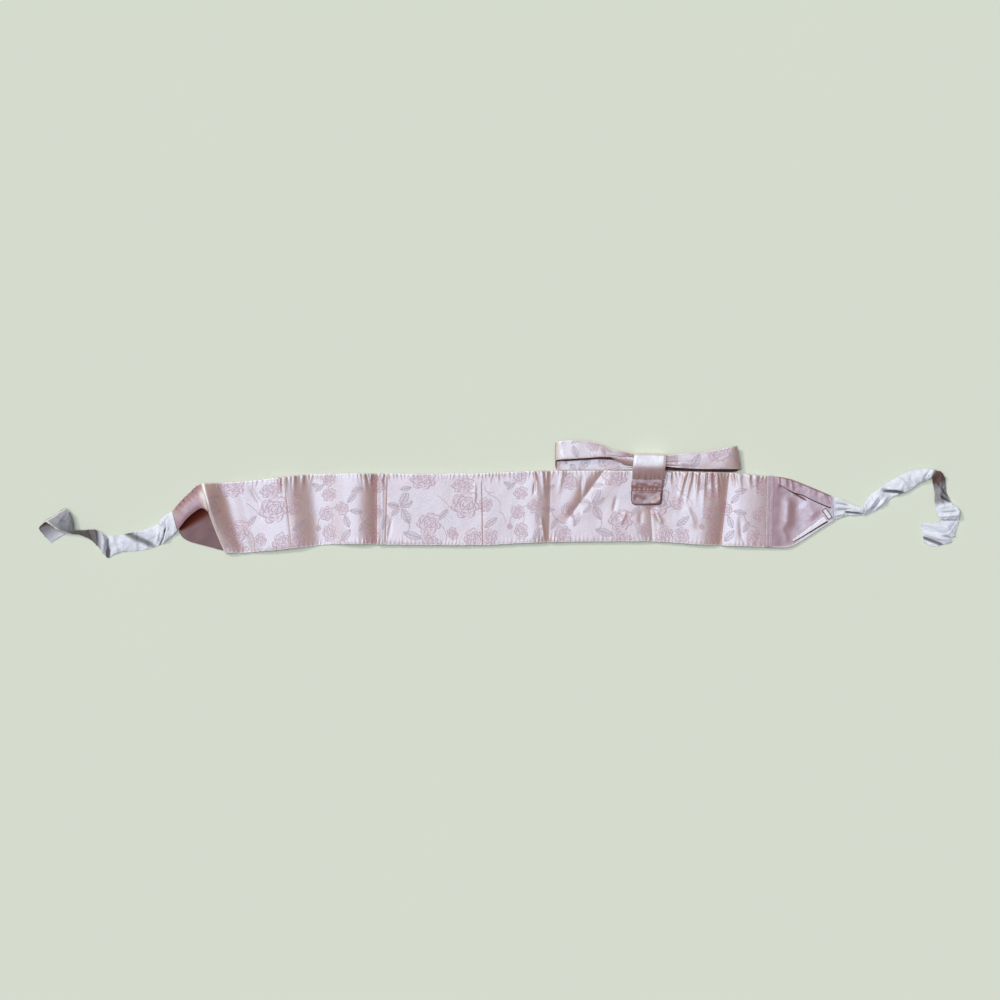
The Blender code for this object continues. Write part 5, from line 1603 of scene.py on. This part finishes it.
def make_keeper_tab(material):
    y = np.linspace(TAB_ROWS[0].y, TAB_ROWS[-1].y, 64)[:, None]
    s = np.linspace(0.0, 1.0, 52)[None, :]
    rows = TAB_ROWS[::-1]
    x = mix(read(rows, "left", y, "y"), read(rows, "right", y, "y"), s)
    y = y + 0.0 * s
    swell = read(rows, "lift", y, "y") * np.minimum(1.0, 2.6 * np.sin(math.pi * mix(0.08, 0.92, s)))
    pinch = np.exp(-(((y - 12.4) / 2.6) ** 2))
    puckers = 0.3 * pinch * np.sin(2 * math.pi * (8.0 * s + 0.25 * np.sin(11.0 * s)))
    billow = 0.55 * wander(x, y, 11.0, 7.7)
    rim = ease(s / 0.06) * ease((1.0 - s) / 0.06) * ease((y - TAB_ROWS[-1].y) / 2.5)
    under = front_over(x, y) + SEAM_GAP
    pressed = sum(crease_height(crease, x, y) for crease in TAB_CREASES)
    z = under + 1.4 + swell + (puckers + billow + pressed) * rim
    outer = np.stack([x, y, z], axis=2)
    inner = np.stack([x, y, under], axis=2)
    near = np.minimum(np.minimum(s, 1.0 - s) * 40.0, y - TAB_ROWS[-1].y)
    # Painted shade along the tab's sides and bottom edge
    shade = 0.75 * (1.0 - ease(near / 1.8)) * (1.0 - ease((y - 14.0) / 6.0))
    return cloth("keeper_tab_cloth", outer, 1.0, material, inner=inner, shade=shade)


def tab_stitches(y, inset):
    rows = TAB_ROWS[::-1]
    s = np.linspace(0.08, 0.92, 40)
    x = mix(float(read(rows, "left", y, "y")) + inset, float(read(rows, "right", y, "y")) - inset, s)
    level = np.full_like(x, y)
    z = front_over(x, level) + SEAM_GAP + 1.55 + float(read(rows, "lift", y, "y"))
    return np.stack([x, level, z], axis=1)


def make_all():
    groups = {"design": design_group(), "weave": weave_group(), "tape": tape_group()}
    woven_satin = rose_satin("rose satin", groups)
    satin = plain_satin("plain satin", groups, SATIN_PLAIN)
    # The turned end and the keeper's tab take darker copies of the satin: painted shade
    turned_satin_painted_shade = plain_satin("turned end of the satin", groups, SATIN_TURNED_PAINTED_SHADE, FOLD_PAINTED_SHADE, 0.40, 1.8)
    end_satin = plain_satin("satin of the right end", groups, SATIN_END, FOLD_PAINTED_SHADE, 0.35, 2.3, 0.7)
    tab_satin_painted_shade = plain_satin("satin of the keeper's tab", groups, SATIN_TAB_PAINTED_SHADE, FOLD_PAINTED_SHADE, 0.28, 1.75, 0.6)
    reverse = plain_satin("reverse of the satin", groups, SATIN_REVERSE, REVERSE_PAINTED_SHADOW, 0.6, 1.5, 0.2)
    tape = cotton_tape("white cotton tape", groups, TAPE_WHITE, TAPE_SHADE)
    tab_tape = cotton_tape("bare tab tape", groups, TAB_WHITE, TAPE_WHITE)
    pink_thread = thread("pink thread", STITCH_PINK)
    brown_thread = thread("brown thread", STITCH_BROWN)
    white_thread = thread("white thread", TAPE_WHITE)

    def sew(piece, node):
        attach(piece, "root")
        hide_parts(node)

    front = make_front(woven_satin)
    sew(front, "band_front")
    back = make_back(satin)
    sew(back, "band_back")
    roll = make_left_roll(turned_satin_painted_shade)
    sew(roll, "end_left_roll")
    flap = make_left_flap(reverse)
    sew(flap, "end_left_flap")
    strip = make_seam_strip(end_satin)
    sew(strip, "seam_strip_right")
    panel = make_end_panel(end_satin)
    sew(panel, "end_right_panel")
    top_pleat = make_top_pleat(end_satin)
    sew(top_pleat, "end_right_top_pleat")
    bottom_pleat = make_bottom_pleat(satin)
    sew(bottom_pleat, "end_right_bottom_pleat")
    tab = make_tab(tab_tape)
    sew(tab, "size_tab")
    tie_left = make_tie("left_tie_cloth", TIE_LEFT, TIE_LEFT_CREASES, TIE_LEFT_REVERSE_AND_PAINTED_SHADE, (14.5, 18.8), False, 2.3, tape)
    sew(tie_left, "tie_left")
    tie_right = make_tie("right_tie_cloth", TIE_RIGHT, TIE_RIGHT_CREASES, TIE_RIGHT_REVERSE_AND_PAINTED_SHADE, None, True, 6.7, tape)
    sew(tie_right, "tie_right")
    left_loop = make_loop("bow_left_cloth", BOW_LEFT, False, 1.1, CUT_LEFT_LOOP, LEFT_OPENING, 0.7, woven_satin)
    sew(left_loop, "bow_left_loop")
    right_loop = make_loop("bow_right_cloth", BOW_RIGHT, True, 4.4, CUT_RIGHT_LOOP, RIGHT_OPENING, 0.0, woven_satin)
    sew(right_loop, "bow_right_loop")
    tuck = make_tuck(woven_satin)
    sew(tuck, "bow_left_tuck")
    keeper = make_keeper(satin)
    sew(keeper, "keeper_loop")
    keeper_tab = make_keeper_tab(tab_satin_painted_shade)
    sew(keeper_tab, "keeper_tab")

    stitches = stitch_tree()
    frays = fray_tree()
    strip_thread = along_path(
        "strip_stitches", [strip_row(0.14), strip_row(0.6)], stitches,
        {"Pitch": 2.5 * MM, "Length": 1.5 * MM, "Thickness": 1.0 * MM, "Thread": pink_thread},
    )
    tab_thread = along_path(
        "keeper_stitches", [tab_stitches(12.4, 0.0)], stitches,
        {"Pitch": 2.4 * MM, "Length": 1.7 * MM, "Thickness": 0.3 * MM, "Thread": brown_thread},
    )
    left_end = ruled(TIE_LEFT, 1, 22)[-1] + np.array((0.0, 0.0, 0.4))
    right_end = ruled(TIE_RIGHT, 1, 22)[-1] + np.array((0.0, 0.0, 0.4))
    fray = along_path(
        "tape_fray", [left_end, right_end], frays,
        {"Pitch": 0.8 * MM, "Length": 2.4 * MM, "Thickness": 0.08 * MM, "Seed": 4, "Thread": white_thread},
    )
    for piece, slot in ((strip_thread, "plain_satin"), (tab_thread, "plain_satin"), (fray, "tape_cotton")):
        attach(piece, "root")


# Floor, light and camera

VIEW_DISTANCE = 6.0
VIEW_WIDTH = 1.25
VIEW_CENTRE = (0.00125, -0.00125)


def make_floor():
    made, tree, shader = new_material("pale floor", 0.9)
    place = tree.nodes.new("ShaderNodeTexCoord").outputs["Object"]
    tone, _ = cloudy(tree, place, 3.0, 2.0)
    feed(tree, shader.inputs["Base Color"], blend(tree, tone, FLOOR_SAGE, tuple(0.985 * c for c in FLOOR_SAGE[:3]) + (1.0,)))
    shader.inputs["Specular IOR Level"].default_value = 0.1
    mesh = bpy.data.meshes.new("floor")
    half = 6.0
    mesh.from_pydata(
        [(-half, -half, -0.0002), (half, -half, -0.0002), (half, half, -0.0002), (-half, half, -0.0002)],
        [], [(0, 1, 2, 3)],
    )
    mesh.materials.append(made)
    floor = bpy.data.objects.new("floor", mesh)
    bpy.context.scene.collection.objects.link(floor)


def sun(name, towards, strength, spread, colour):
    """A broad even light that comes from a direction."""
    data = bpy.data.lights.new(name, "SUN")
    data.energy = strength
    data.angle = math.radians(spread)
    data.color = colour
    made = bpy.data.objects.new(name, data)
    made.rotation_euler = Vector(towards).to_track_quat("Z", "Y").to_euler()
    bpy.context.scene.collection.objects.link(made)


def make_light():
    sun("overhead panel", (-0.20, 0.12, 1.0), 1.9, 36.0, (0.80, 0.87, 1.0))
    sun("window light", (-0.80, 0.62, 0.85), 1.3, 12.0, (1.0, 0.95, 0.89))
    world = bpy.data.worlds.new("studio")
    world.use_nodes = True
    background = world.node_tree.nodes["Background"]
    background.inputs["Color"].default_value = (1.0, 0.95, 0.93, 1.0)
    background.inputs["Strength"].default_value = 0.16
    bpy.context.scene.world = world


def make_camera():
    data = bpy.data.cameras.new("camera")
    data.sensor_width = 36.0
    data.lens = 36.0 * VIEW_DISTANCE / VIEW_WIDTH
    data.clip_end = 50.0
    made = bpy.data.objects.new("camera", data)
    made.location = (*VIEW_CENTRE, VIEW_DISTANCE)
    bpy.context.scene.collection.objects.link(made)
    bpy.context.scene.camera = made


make_all()
make_floor()
make_light()
make_camera()
bpy.context.scene.view_settings.view_transform = "Standard"
